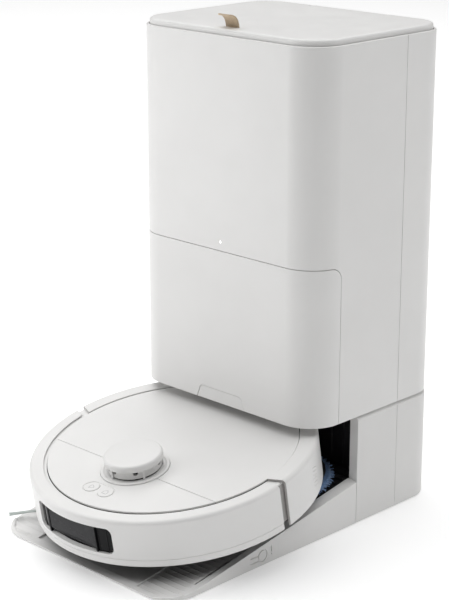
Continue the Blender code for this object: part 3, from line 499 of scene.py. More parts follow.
def leather_look():
    """Pebbled hide, darker where its edges are cut."""
    tree, shader, coords = new_look("leather")
    cells = tree.nodes.new("ShaderNodeTexVoronoi")
    cells.inputs["Scale"].default_value = 900
    tree.links.new(coords, cells.inputs["Vector"])
    pebble = cells.outputs["Distance"]
    tone = mix_colour(tree, ramp_node(tree, noise_node(tree, coords, 160), 0.3, 0.7, 0, 1),
                      (0.50, 0.385, 0.26), (0.62, 0.49, 0.345))
    edge = tree.nodes.new("ShaderNodeNewGeometry").outputs["Pointiness"]
    tone = mix_colour(tree, ramp_node(tree, edge, 0.52, 0.64, 0, 0.6), tone, (0.36, 0.26, 0.165))
    tree.links.new(tone, shader.inputs["Base Color"])
    tree.links.new(ramp_node(tree, pebble, 0, 0.8, 0.62, 0.46), shader.inputs["Roughness"])
    add_bump(tree, shader, pebble, 0.35, 0.00025, invert=True)


def board_look():
    """Green solder mask, with a lattice of copper tracks that shows through it."""
    tree, shader, coords = new_look("board")
    bricks = tree.nodes.new("ShaderNodeTexBrick")
    bricks.inputs["Scale"].default_value = 160
    bricks.inputs["Mortar Size"].default_value = 0.03
    bricks.inputs["Color1"].default_value = (0.012, 0.11, 0.045, 1)
    bricks.inputs["Color2"].default_value = (0.016, 0.13, 0.055, 1)
    bricks.inputs["Mortar"].default_value = (0.05, 0.22, 0.09, 1)
    turn = tree.nodes.new("ShaderNodeMapping")
    turn.inputs["Rotation"].default_value = (math.pi / 2, 0, 0)
    tree.links.new(coords, turn.inputs["Vector"])
    tree.links.new(turn.outputs["Vector"], bricks.inputs["Vector"])
    tree.links.new(bricks.outputs["Color"], shader.inputs["Base Color"])
    add_bump(tree, shader, bricks.outputs["Fac"], 0.3, 0.0001)
    gloss = ramp_node(tree, noise_node(tree, coords, 80), 0.3, 0.7, 0.38, 0.5)
    tree.links.new(gloss, shader.inputs["Roughness"])


leather_look()
board_look()


def two_toned(obj, first, second, in_second):
    """Gives the faces whose centre in_second accepts the second look, and the rest the first."""
    for name in (first, second):
        obj.data.materials.append(LOOKS[name][0])
    for face in obj.data.polygons:
        if in_second(face.center):
            face.material_index = 1


def piece(obj, name, look_name, where, body, nodes=()):
    """Makes obj a visible piece: its name, material, place, body, and the CAD nodes it stands for."""
    made, slot = LOOKS[look_name]
    obj.name = name
    obj.data.name = name
    obj.data.transform(where)
    if not obj.data.materials:
        obj.data.materials.append(made)
    else:
        obj.data.materials[0] = made
    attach(obj, body)
    if nodes:
        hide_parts(*nodes)
    return obj


# Station


def seam_region(grow):
    """The block that the front cover fills: everything below the seam and in front of its side edges."""
    y1, z1 = COVER_SIDE_Y + grow, COVER_TOP_Z + grow
    r = COVER_CORNER_R + grow
    outline = [(-0.02, TOWER_Z0 - 0.01), (y1, TOWER_Z0 - 0.01)]
    outline += arc(y1 - r, z1 - r, r, 0, 90, 16) + [(-0.02, z1)]
    return prism_x(outline, -0.2, 0.2)


def shell_wall(z0, z1, bottom, top):
    """Upright wall that follows the tower's plan, with rounded bottom and top edges."""
    profile = [(x, z) for x, z in arc(bottom, z0 + bottom, bottom, 270, 180, 4)]
    profile += [(x, z) for x, z in arc(top, z1 - top, top, 180, 90, 6)]
    lip = 0.0006
    profile += [(WALL - x, z) for x, z in arc(lip, z1 - lip, lip, 90, 180, 3)]
    profile += [(WALL, z0)]
    return loft([[(x, y, z) for x, y in tower_plan(inset)] for inset, z in profile], closed_loop=True)


def latch_outline(grow):
    top, bottom = 0.0365 + grow, 0.0405 + grow
    z1, r = 0.1565 + grow, 0.0070
    right = arc(top - r, z1 - r, r, 0, 90, 10)
    left = [(-x, z) for x, z in reversed(right)]
    return [(-bottom, TOWER_Z0 - 0.001), (bottom, TOWER_Z0 - 0.001)] + right + left


def latch_block(grow, y0, y1):
    return loft([[(x, y, z) for x, z in latch_outline(grow)] for y in (y0, y1)])


def hinge_ear(x):
    half, z0 = 0.0045, RIM_Z - 0.014
    outline = [(HINGE_Y - 0.0028, z0), (TOWER_D - 0.001, z0), (TOWER_D - 0.001, RIM_Z - 0.002)]
    outline += [(HINGE_Y + 0.0028, RIM_Z), (HINGE_Y + 0.0028, HINGE_Z)]
    outline += arc(HINGE_Y, HINGE_Z, 0.0028, 0, 180, 12)[1:]
    return prism_x(outline, x - half, x + half)


def build_tower():
    front = shell_wall(TOWER_Z0, RIM_Z, 0.0007, 0.0013)
    cut(front, seam_region(SEAM), box(-0.2, 0.2, REAR_SEAM_Y - SEAM / 2, 0.3, 0, 1))
    cut(front, bar(0.0014, (0, -0.01, LAMP_Z), (0, 0.01, LAMP_Z)))
    soften(front, 0.0003)
    piece(front, "upper_shell", "white_shell", STATION, "station", ["tower_shell"])

    rear = shell_wall(TOWER_Z0, RIM_Z, 0.0007, 0.0013)
    cut(rear, box(-0.2, 0.2, -0.1, REAR_SEAM_Y + SEAM / 2, 0, 1))
    for side in (-1, 1):
        join(rear, hinge_ear(side * HINGE_X))
    cut(rear, bar(0.0015, (-0.08, HINGE_Y, HINGE_Z), (0.08, HINGE_Y, HINGE_Z)))
    soften(rear, 0.0003)
    piece(rear, "back_shell", "white_shell", STATION, "station", ["rear_shell"])

    cover = keep(shell_wall(TOWER_Z0, COVER_TOP_Z + 0.01, 0.0007, 0.0005), seam_region(0))
    cut(cover, latch_block(0.0004, -0.01, WALL + 0.002))
    soften(cover, 0.0003)
    piece(cover, "lower_cover", "white_shell", STATION, "cover", ["front_cover"])

    latch = latch_block(0, 0.0003, 0.0065)
    cut(latch, box(-0.1, 0.1, -0.1, 0.1, 0.1, TOWER_Z0))
    cut(latch, bar(0.0004, (0, 0, 0.1495), (0, 0, 0.1530), 12, 0.0002))
    soften(latch, 0.0005)
    piece(latch, "grip_tab", "white_shell", STATION, "cover_latch", ["cover_latch"])

    profile = [(0.0012, 0.0), (0.0012, 0.0078), (0.0010, 0.0082), (0.0006, 0.0085), (0.0002, 0.0086)]
    lamp = shaded(stack(profile, steps=32))
    place(lamp, (0, 0.0085, LAMP_Z), math.pi / 2, "X")
    piece(lamp, "light_dot", "lamp", STATION, "station", ["status_light"])


def build_lid():
    rise = 0.0036
    profile = [(0.0006, LID_SKIRT_Z), (0.0, LID_SKIRT_Z + 0.0006)]
    profile += [(x, z) for x, z in arc(rise, LID_Z1 - 0.0006 - rise, rise, 180, 100, 8)]
    rings = [[(x, y, z) for x, y in tower_plan(LID_INSET + inset)] for inset, z in profile]
    edge = tower_plan(LID_INSET + 0.0050)
    top = profile[-1][1]
    for k in (1.0, 0.97, 0.92, 0.84, 0.72, 0.56, 0.38, 0.20, 0.08):
        z = LID_Z1 - (LID_Z1 - top) * k ** 6
        rings.append([(x * k, TOWER_D / 2 + (y - TOWER_D / 2) * k, z) for x, y in edge])
    lid = loft(rings)
    for side in (-1, 1):
        x = side * HINGE_X
        cut(lid, box(x - 0.0052, x + 0.0052, HINGE_Y - 0.0045, TOWER_D, LID_SKIRT_Z - 0.01, LID_Z1 + 0.01))
    soften(lid, 0.0003)
    piece(lid, "lid_panel", "white_shell", STATION, "lid", ["top_lid"])


def spline_points(points, count):
    """Smooth curve through points, sampled evenly in its parameter (Catmull-Rom)."""
    points = [Vector(p) for p in points]
    padded = [2 * points[0] - points[1]] + points + [2 * points[-1] - points[-2]]
    out = []
    spans = len(points) - 1
    for i in range(count):
        t = spans * i / (count - 1)
        k = min(int(t), spans - 1)
        u = t - k
        a, b, c, d = padded[k:k + 4]
        out.append(0.5 * ((2 * b) + (c - a) * u + (2 * a - 5 * b + 4 * c - d) * u * u
                          + (3 * b - a - 3 * c + d) * u ** 3))
    return out


def build_tab():
    """Leather strap that rises out of the lid and curls forward, with a line of stitches along its border."""
    z = LID_Z1
    route = [(0.0214, z - 0.003), (0.0208, z + 0.002), (0.0196, z + 0.0065), (0.0170, z + 0.0108)]
    route += [(0.0130, z + 0.0138), (0.0085, z + 0.0150), (0.0062, z + 0.0149)]
    line = spline_points(route, 34)
    half, thick, corner = 0.0108, 0.0008, 0.0030
    lengths = [0.0]
    for a, b in zip(line, line[1:]):
        lengths.append(lengths[-1] + (b - a).length)
    total = lengths[-1]

    def frame_at(i):
        along = (line[min(i + 1, len(line) - 1)] - line[max(i - 1, 0)]).normalized()
        return line[i], Vector((-along.y, along.x))

    rings = []
    for i, run in enumerate(lengths):
        left = total - run
        wide = half - (corner - math.sqrt(max(corner ** 2 - (corner - left) ** 2, 0)) if left < corner else 0)
        centre, out = frame_at(i)
        section = arc(wide - thick, 0, thick, -90, 90, 6) + arc(-wide + thick, 0, thick, 90, 270, 6)
        rings.append([(x, centre.x + out.x * h, centre.y + out.y * h) for x, h in section])
    tab = shaded(loft(rings), 60)
    piece(tab, "leather_tab", "leather", STATION, "lid", ["pull_tab"])

    stitches = []
    for face in (-1, 1):
        for side in (-1, 1):
            for i in range(4, len(line) - 3, 2):
                centre, out = frame_at(i)
                ahead = frame_at(i + 1)[0]
                start, end = centre.lerp(ahead, 0.1), centre.lerp(ahead, 1.25)
                lift = out * (face * (thick + 0.00005))
                x = side * (half - 0.0022)
                stitches.append(bar(0.00026, (x, start.x + lift.x, start.y + lift.y),
                                    (x, end.x + lift.x, end.y + lift.y), 8, 0.00012))
        centre, out = frame_at(len(line) - 4)
        lift = out * (face * (thick + 0.00005))
        for k in range(-4, 5):
            x = k * 0.0019
            stitches.append(bar(0.00026, (x - 0.0006, centre.x + lift.x, centre.y + lift.y),
                                (x + 0.0006, centre.x + lift.x, centre.y + lift.y), 8, 0.00012))
    thread = shaded(gathered(stitches), 60)
    piece(thread, "tab_stitches", "tab_thread", STATION, "lid")


def plane_z(y, above=0.0):
    """Height of the robot's parking plane at y, raised by a distance along its normal."""
    return ROBOT_Z + (y - ROBOT_Y) * math.tan(PARK_TILT) + above / math.cos(PARK_TILT)


def sloped_block(x0, x1, y0, y1, below, above):
    lower = [(y, plane_z(y, below)) for y in (y0, y1)]
    upper = [(y, plane_z(y, above)) for y in (y1, y0)]
    return prism_x(lower + upper, x0, x1)


def cheek_z(y):
    return CHEEK_Z_AT_0 + CHEEK_SLOPE * y


def tread_lift(y):
    """Height of the track's floor above its base line: saw teeth, steepest behind each crest."""
    k = (y - RAMP_FRONT - 0.008) / TRACK_PITCH
    if k < -0.7 or k > TREADS - 0.5:
        return TREAD_LOW
    before = math.ceil(k) - k if k > 0 else -k
    after = k - math.floor(k) if k > 0 else 1.0
    if after * TRACK_PITCH < CREST_LENGTH:
        return TREAD_LOW + TREAD_RISE * (1 - (after * TRACK_PITCH / CREST_LENGTH) ** 2)
    return TREAD_LOW + TREAD_RISE * max(1 - before / 0.85, 0) ** 1.6


def cut_track(ramp, side):
    """Sinks one treaded wheel track into the ramp, and bevels its cheek down to the outside."""
    y0, y1, count = RAMP_FRONT + 0.006, TRAY_Y0 - 0.004, 520
    half, bend = BASE_HALF_W - 0.0035, TRACK_CORNER_R
    plan = rounded(-half, half, RAMP_FRONT + 0.0062, 0.01, (bend, bend, 0.0005, 0.0005), 28)
    outer = TRACK_X1 + 0.012
    rings = []
    for i in range(count + 1):
        y = y0 + (y1 - y0) * i / count
        floor = max(plane_z(y, -TRACK_DEPTH), RAMP_LIP - 0.0022) + tread_lift(y)
        floor = min(floor, cheek_z(y) + 0.0004)
        section = [(TRACK_X0, floor), (TRACK_X1, floor), (outer, cheek_z(y) + 0.0005)]
        section += [(outer, floor + 0.060), (TRACK_X0, floor + 0.060)]
        rings.append([(side * x, y, z) for x, z in section])
    cut(ramp, keep(loft(rings), prism(plan, -0.1, 0.2)))
    slope = []
    for y in (BEVEL_START, RAMP_BACK + 0.01):
        section = [(BEVEL_X, cheek_z(y) + 0.0005), (BASE_HALF_W + 0.001, cheek_z(y) - 0.0025)]
        section += [(BASE_HALF_W + 0.001, 0.15), (BEVEL_X, 0.15)]
        slope.append([(side * x, y, z) for x, z in section])
    cut(ramp, loft(slope))


def build_ramp():
    """Ramp with a flat lip, two treaded tracks, a sunk middle, a pocket for the tray and a hollow below."""
    lip_y = (RAMP_LIP - CHEEK_Z_AT_0) / CHEEK_SLOPE
    side_view = [(RAMP_FRONT, UNDERSIDE), (RAMP_BACK, UNDERSIDE), (RAMP_BACK, cheek_z(RAMP_BACK))]
    side_view += [(lip_y, RAMP_LIP), (RAMP_FRONT, RAMP_LIP - 0.001)]
    ramp = prism_x(side_view, -BASE_HALF_W, BASE_HALF_W)
    corner = RAMP_CORNER_R
    plan = rounded(-BASE_HALF_W, BASE_HALF_W, RAMP_FRONT, RAMP_BACK, (corner, corner, 0.0005, 0.0005), 28)
    keep(ramp, prism(plan, -0.1, 0.2))
    for side in (-1, 1):
        cut_track(ramp, side)
    lip, sunk, pocket_y = RAMP_LIP - 0.0012, -0.0022, TRAY_Y0 - 0.004
    lip_end = ROBOT_Y + (lip - sunk / math.cos(PARK_TILT) - ROBOT_Z) / math.tan(PARK_TILT)
    middle = [(RAMP_FRONT + 0.012, lip), (lip_end, lip), (pocket_y, plane_z(pocket_y, sunk))]
    middle += [(pocket_y, 0.1), (RAMP_FRONT + 0.012, 0.1)]
    cut(ramp, prism_x(middle, -TRACK_X0 + 0.002, TRACK_X0 - 0.002))
    cut(ramp, sloped_block(-0.1375, 0.1375, TRAY_Y0 - 0.001, 0.2, TRAY_LOW - 0.0004, 0.06))
    hollow_y0, hollow_y1, skin = -0.120, RAMP_BACK - 0.004, -0.0125
    under = [(hollow_y0, -0.01), (hollow_y1, -0.01)]
    under += [(hollow_y1, plane_z(hollow_y1, skin)), (hollow_y0, plane_z(hollow_y0, skin))]
    cut(ramp, prism_x(under, -BASE_HALF_W + 0.004, BASE_HALF_W - 0.004))
    plug_mark(ramp)
    soften(ramp, 0.0005, 3, 50)

    def in_tray(c):
        return abs(c.x) < 0.1378 and c.y > TRAY_Y0 - 0.0006 and c.z > plane_z(c.y, TRAY_LOW - 0.0010)

    two_toned(ramp, "white_ramp", "bay_black", in_tray)
    piece(ramp, "ramp_moulding", "white_ramp", STATION, "station", ["ramp"])


def plug_mark(ramp):
    """Engraves a generic mains plug on the right cheek: a ring, two prongs, a short bar and a dot."""
    x0, x1 = BASE_HALF_W - 0.0016, BASE_HALF_W + 0.002
    cy, cz, r, line = -0.083, 0.0135, 0.0078, 0.0016

    def slab(y0, y1, z0, z1):
        return prism_x(oblong(y0, y1, z0, z1), x0, x1)

    outer, inner = arc(cy, cz, r, 0, 360, 40)[:-1], arc(cy, cz, r - line, 0, 360, 40)[:-1]
    cut(ramp, cut(prism_x(outer, x0, x1), prism_x(inner, x0 - 0.001, x1 + 0.001)))
    for dz in (0.0012, -0.0056):
        cut(ramp, slab(cy - 0.0205, cy - r + 0.0012, cz + dz, cz + dz + line))
    y = cy + 0.0139
    cut(ramp, slab(y, y + line, cz + 0.0007, cz + 0.0079))
    cut(ramp, slab(y, y + line, cz - 0.0030, cz - 0.0016))


def build_base():
    def plan(inset):
        half, rear = BASE_HALF_W - inset, REAR_R + 0.001 - inset
        return rounded(-half, half, BASE_Y0, BASE_BACK - inset, (0.0005, 0.0005, rear, rear))

    levels = [(x, z) for x, z in arc(0.0010, UNDERSIDE + 0.0010, 0.0010, 270, 180, 4)]
    levels += [(0, BASE_TOP - BASE_CHAMFER_H), (BASE_CHAMFER_W, BASE_TOP)]
    base = loft([[(x, y, z) for x, y in plan(inset)] for inset, z in levels])
    bay = [(0.05, plane_z(0.05, TRAY_LOW - 0.0004)), (BAY_BACK, plane_z(BAY_BACK, TRAY_LOW - 0.0004))]
    cut(base, prism_x(bay + [(BAY_BACK, 0.2), (0.05, 0.2)], -BAY_HALF_W, BAY_HALF_W))
    room = rounded(-0.1440, 0.1440, BAY_BACK + 0.003, 0.2315, (0.002, 0.002, 0.034, 0.034), 12)
    cut(base, prism(room, UNDERSIDE + 0.003, 0.2))
    cut(base, box(-0.0155, 0.0155, 0.22, 0.25, 0.0198, 0.0442))
    cut(base, box(-PORT_HALF_W, PORT_HALF_W, 0.10, 0.12, 0.118, 0.134))
    cut(base, shallow_groove())
    soften(base, 0.0005, 3, 40)

    def in_bay(c):
        return abs(c.x) < BAY_HALF_W + 0.0002 and BASE_Y0 + 0.0012 < c.y < BAY_BACK + 0.0002

    two_toned(base, "white_base", "bay_black", in_bay)
    piece(base, "base_moulding", "white_base", STATION, "station", ["base_housing"])


def shallow_groove():
    """Thin frame that cuts the seam between the base's front and rear halves into both its sides."""
    y0, y1, depth = REAR_SEAM_Y - SPLIT, REAR_SEAM_Y + SPLIT, 0.0006
    half = BASE_HALF_W - depth
    frame_block = box(-0.2, 0.2, y0, y1, -0.01, 0.2)
    return cut(frame_block, box(-half, half, y0 - 0.01, y1 + 0.01, -0.02, 0.21))


def build_bay():
    """Black liner at the back of the washing bay, with ribs and openings for the dust port and contacts."""
    x1 = BAY_HALF_W - 0.0004
    liner = box(-x1, x1, 0.1072, BAY_BACK - 0.0004, 0.0600, 0.1385)
    for x in [-0.120 + 0.030 * i for i in range(9)] + [-0.131, 0.131, 0.109, -0.109]:
        if abs(x) > 0.045:
            join(liner, box(x - 0.0009, x + 0.0009, 0.1050, 0.1080, 0.0620, 0.1370))
    cut(liner, box(-PORT_HALF_W, PORT_HALF_W, 0.10, 0.12, 0.118, 0.134))
    for x in (-PIN_X, PIN_X):
        pin_z = plane_z(0.0975, 0.030)
        cut(liner, bar(0.0034, (x, 0.10, pin_z), (x, 0.13, pin_z)))
    soften(liner, 0.0004)
    piece(liner, "bay_back", "bay_black", STATION, "station", ["bay_liner"])


def lobed_bag():
    """Fleece dust bag: a pillow held by its collar, with a seam line round it, creases and a slight sag."""
    x0, x1, y0, y1, z0, z1 = -0.100, 0.060, 0.014, 0.096, 0.158, 0.318
    cx, cy = (x0 + x1) / 2, (y0 + y1) / 2
    across, around = 44, 96
    rings = []
    for i in range(across + 1):
        t = i / across
        z = z0 + (z1 - z0) * t
        end = min(t, 1 - t)
        full = min(1.0, (end / 0.22)) ** 0.5 if end > 0 else 0.0
        sag = 0.93 + 0.07 * math.cos(math.pi * t)
        half_w = (x1 - x0) / 2 * (0.80 + 0.20 * full) * (0.97 + 0.03 * sag)
        half_d = (y1 - y0) / 2 * (0.12 + 0.88 * full) * sag
        ring = []
        for k in range(around):
            a = math.tau * k / around
            c, s = math.cos(a), math.sin(a)
            x = half_w * math.copysign(abs(c) ** 0.62, c)
            y = half_d * math.copysign(abs(s) ** 0.80, s)
            spot = Vector((x, y * 1.5, z)) * 26
            crease = noise.noise(spot) * 0.0034 + noise.noise(spot * 2.7) * 0.0014
            pull = 1 - 0.035 * max(0.0, math.cos(9 * math.pi * t)) * (1 - full)
            nearness = min(1.0, (half_w - abs(x)) / 0.012)
            y += math.copysign(1, s) * crease * nearness * full if abs(s) > 0.05 else 0
            ring.append((cx + x * pull, cy + min(max(y, y0 - cy), y1 - cy), z))
        rings.append(ring)
    return loft(rings)


def build_bag():
    """The dust bag, a soft fleece pillow, shaded smooth."""
    bag = shaded(lobed_bag(), 75)
    piece(bag, "fleece_bag", "paper_bag", STATION, "station", ["dust_bag"])


def build_station():
    build_tower()
    build_lid()
    build_tab()
    build_ramp()
    build_base()
    build_bay()
    build_bag()


# Robot


def rim_profile(inner, lined, drop=0.0):
    """Section of the bumper and the rear body, from foot to top flange, with a fine line if lined."""
    r, z0, z1, t = ROBOT_R, BUMPER_Z0, BUMPER_Z1 - drop, 0.0026 - drop
    foot = [(x, z) for x, z in arc(r - 0.0016, z0 + 0.0016, 0.0016, -90, 0, 5)]
    line = z0 + 0.0090
    if lined:
        foot += [(r, line - 0.0005), (r - 0.0006, line - 0.0001)]
        foot += [(r - 0.0006, line + 0.0001), (r, line + 0.0005)]
    wall = [(r, z0 + (z1 - z0) * k / 6) for k in range(2, 6)]
    shoulder = arc(r - 0.0052, z1 - 0.0052, 0.0052, 0, 90, 12)
    top = arc(inner + 0.0007, z1 - 0.0007, 0.0007, 90, 180, 3) + [(inner, z1 - t)]
    inside = [(r - 0.0060, z1 - t), (r - t, z1 - t - 0.0034), (r - t, z0)]
    return foot + wall + shoulder + top + inside


def end_block(side, y, beyond):
    """Block past the slanted plane that parts the bumper from the rear body, which meets their wall at y."""
    line = [(0.10, y - (ROBOT_R - 0.10) * SLANT), (0.20, y + (0.20 - ROBOT_R) * SLANT)]
    return prism([(side * a, b) for a, b in line + [(0.20, beyond), (0.10, beyond)]], -0.02, 0.12)


def build_bumper():
    bumper = sector(rim_profile(LID_R + BUMPER_GAP, True, 0.0010), -93, 93, 190)
    for side in (-1, 1):
        cut(bumper, end_block(side, BUMPER_END_Y, 0.10))
    shape = (WINDOW_HALF, WINDOW_Z0, WINDOW_Z1, WINDOW_CORNER)
    join(bumper, curved_panel(*shape, SILL_R, ROBOT_R - 0.0012, -0.0022))
    cut(bumper, curved_panel(*shape, 0.165, 0.180))
    soften(bumper, 0.0004, 3, 42)
    piece(bumper, "front_bumper", "white_shell", ROBOT, "bumper", ["bumper"])

    z0, z1 = WINDOW_Z0 + 0.0004, WINDOW_Z1 - 0.0004
    y, back = -PANE_Y, -0.1652
    foot = z0 + 0.0013
    outline = [(back, foot), (y + 0.0018, foot), (y, foot + 0.0050)]
    outline += [(y, z1 - 0.0010), (y + 0.0006, z1), (back, z1)]
    pane = soften(prism_x(outline, -PANE_HALF_W, PANE_HALF_W), 0.0003, 3)
    piece(pane, "window_pane", "smoked_pane", ROBOT, "bumper", ["bumper_window"])

    ends = curved_panel(*shape, SILL_R - 0.0008, 0.1718, 0.0004)
    cut(ends, box(-PANE_HALF_W - 0.0002, PANE_HALF_W + 0.0002, -0.2, -0.1, 0, 0.1))
    for side in (-1, 1):
        for azimuth in (14.6, 18.4):
            r, half = 0.1724, 0.20
            section = oblong(SILL_R - 0.0006, r, z0, z1)
            start, end = sorted((side * (azimuth - half), side * (azimuth + half)))
            join(ends, sector(section, start, end, 2))
    soften(ends, 0.0002, 2)
    piece(ends, "window_ends", "end_gloss", ROBOT, "bumper")

    posts = []
    for side in (-1, 1):
        x0, x1 = sorted((side * (PANE_HALF_W - 0.0003), side * (PANE_HALF_W + 0.0021)))
        posts.append(box(x0, x1, -0.1696, -0.1655, z0, z1))
    posts.append(box(-PANE_HALF_W, PANE_HALF_W, -0.1660, -0.1654, z0, foot + 0.0010))
    frame_posts = soften(gathered(posts), 0.0002)
    piece(frame_posts, "window_posts", "end_gloss", ROBOT, "bumper")


def louvre(side, z):
    rings = []
    for azimuth, fall in ((LOUVRE_START, 0.0), (LOUVRE_END, LOUVRE_FALL)):
        low, high = z - fall, z - fall + 0.0010
        depth = ROBOT_R - 0.0007
        corners = ((depth, low + 0.0003), (0.180, low), (0.180, high), (depth, high - 0.0003))
        rings.append([bearing_point(r, side * azimuth, level) for r, level in corners])
    return loft(rings)


def build_rear():
    """Rear body, slanted at its two front ends, with sunk tongues darkened by painted shade, the groove's
    floor and slanted louvres.
    """
    rear = sector(rim_profile(LID_R + 0.0008, False), 88, 272, 190)
    for side in (-1, 1):
        cut(rear, end_block(side, REAR_END_Y, -0.10))
    inner, outer, shelf, roof = LID_R + 0.0008, LID_R + 0.0068, BUMPER_Z1 - 0.0050, BUMPER_Z1 - 0.0036
    join(rear, sector(oblong(inner, outer, shelf, roof), -REAR_START - 0.5, REAR_START + 0.5, 200))
    low, top = BUMPER_Z0 + 0.0062, BUMPER_Z1 - 0.0035
    for side in (-1, 1):
        tip, root = side * (REAR_START - 5.5), side * (REAR_START + 0.9)
        roof_strip = oblong(inner, TONGUE_R1, top - 0.0016, top)
        web = oblong(TONGUE_R0 - 0.0003, ROBOT_R - 0.0012, low - 0.0004, top + 0.0004)
        join(rear, sector(roof_strip, tip, root, 10))
        join(rear, sector(web, side * (REAR_START + 0.2), side * (REAR_START + 1.7), 1))
        join(rear, sector(oblong(TONGUE_R0, TONGUE_R1, low, top), tip, root, 10))
        for i in range(LOUVRES):
            cut(rear, louvre(side, LOUVRE_Z + LOUVRE_PITCH * i))
    soften(rear, 0.0003, 3, 42)

    def on_tongue(c):
        in_wall = TONGUE_R0 - 0.0005 < math.hypot(c.x, c.y) < TONGUE_R1 + 0.0004
        return in_wall and c.y < REAR_END_Y + 0.002 and c.z < top - 0.0018

    # The tongue faces get the darker copy of the white shell: painted shade in the gap between bumper and
    # rear body.
    two_toned(rear, "white_shell", "tongue_painted_shade", on_tongue)
    piece(rear, "rear_shell_body", "white_shell", ROBOT, "robot", ["rear_body"])


def top_block(plan, z0, z1, edge):
    """Flat plate with a rounded top edge and a thin skirt line below."""
    levels = [(0.0003, z0), (0.0, z0 + 0.0003)]
    levels += [(edge - x, z) for x, z in arc(0, z1 - edge, edge, 0, 90, 6)]
    return loft([[(x, y, z) for x, y in plan(inset)] for inset, z in levels])


def build_deck():
    """Lid of the robot: a front and a rear plate that meet at a seam, and two keys with their signs."""
    def deck_plan(inset):
        r, y = LID_R - inset, SEAM_Y - SPLIT - inset
        half = math.degrees(math.acos(-y / r))
        return [bearing_point(r, -half + 2 * half * i / 110, 0)[:2] for i in range(111)]

    def cover_plan(inset):
        r, y = LID_R - inset, SEAM_Y + SPLIT + inset
        half = math.degrees(math.acos(-y / r))
        span = 360 - 2 * half
        return [bearing_point(r, half + span * i / 150, 0)[:2] for i in range(151)]

    def plate(plan):
        return cut(top_block(plan, LID_TOP - 0.0024, LID_TOP, 0.0008),
                   disc(TURRET_RING_R + 0.0003, 0, 0.2, 0, TURRET_Y))

    deck = plate(deck_plan)
    recess = arc(BUTTON_X, BUTTON_Y, BUTTON_R + 0.0016, -90, 90, 24)
    recess += arc(-BUTTON_X, BUTTON_Y, BUTTON_R + 0.0016, 90, 270, 24)
    cut(deck, prism(recess, LID_TOP - 0.0006, LID_TOP + 0.01))
    for side in (-1, 1):
        cut(deck, disc(BUTTON_R + 0.00025, 0, 0.2, side * BUTTON_X, BUTTON_Y, 64))
    soften(deck, 0.00035, 3, 42)
    piece(deck, "deck_front", "white_shell", ROBOT, "robot", ["front_deck"])

    cover = soften(plate(cover_plan), 0.00035, 3, 42)
    piece(cover, "deck_rear", "white_shell", ROBOT, "robot", ["rear_cover"])

    for name, side, body in (("play", -1, "play_button"), ("home", 1, "home_button")):
        x = side * BUTTON_X
        button = disc(BUTTON_R, LID_TOP - 0.0045, LID_TOP + 0.0001, x, BUTTON_Y, 64, 0.0007)
        piece(shaded(button), name + "_key", "white_shell", ROBOT, body, ["button_" + name])
        glyph = shaded(play_glyph(x) if name == "play" else home_glyph(x))
        piece(glyph, name + "_glyph", "glyph_grey", ROBOT, body)


def stroke(points, width, z, height=0.00006):
    """Flat printed line through points, closed on itself."""
    outer, inner = [], []
    count = len(points)
    for i, p in enumerate(points):
        a, b, c = Vector(points[i - 1]), Vector(p), Vector(points[(i + 1) % count])
        u, v = (b - a).normalized(), (c - b).normalized()
        normal = (Vector((u.y, -u.x)) + Vector((v.y, -v.x)))
        normal = normal.normalized() / max(math.cos(u.angle(v) / 2), 0.4)
        outer.append(b + normal * width / 2)
        inner.append(b - normal * width / 2)
    rings = [[(p.x, p.y, z) for p in outer], [(p.x, p.y, z + height) for p in outer],
             [(p.x, p.y, z + height) for p in inner], [(p.x, p.y, z) for p in inner]]
    return loft(rings, closed_loop=True)


def play_glyph(x):
    z = LID_TOP + 0.00008
    points = []
    for k in range(3):
        a = math.tau * k / 3
        cx, cy = x + 0.0028 * math.cos(a), BUTTON_Y + 0.0028 * math.sin(a)
        points += arc(cx, cy, 0.0009, math.degrees(a) - 60, math.degrees(a) + 60, 5)
    return stroke(points, 0.00055, z)


def home_glyph(x):
    z, y = LID_TOP + 0.00008, BUTTON_Y
    points = [(x - 0.0034, y - 0.0031), (x + 0.0034, y - 0.0031), (x + 0.0034, y + 0.0009), (x, y + 0.0041),
              (x - 0.0034, y + 0.0009)]
    return stroke(points, 0.00055, z)


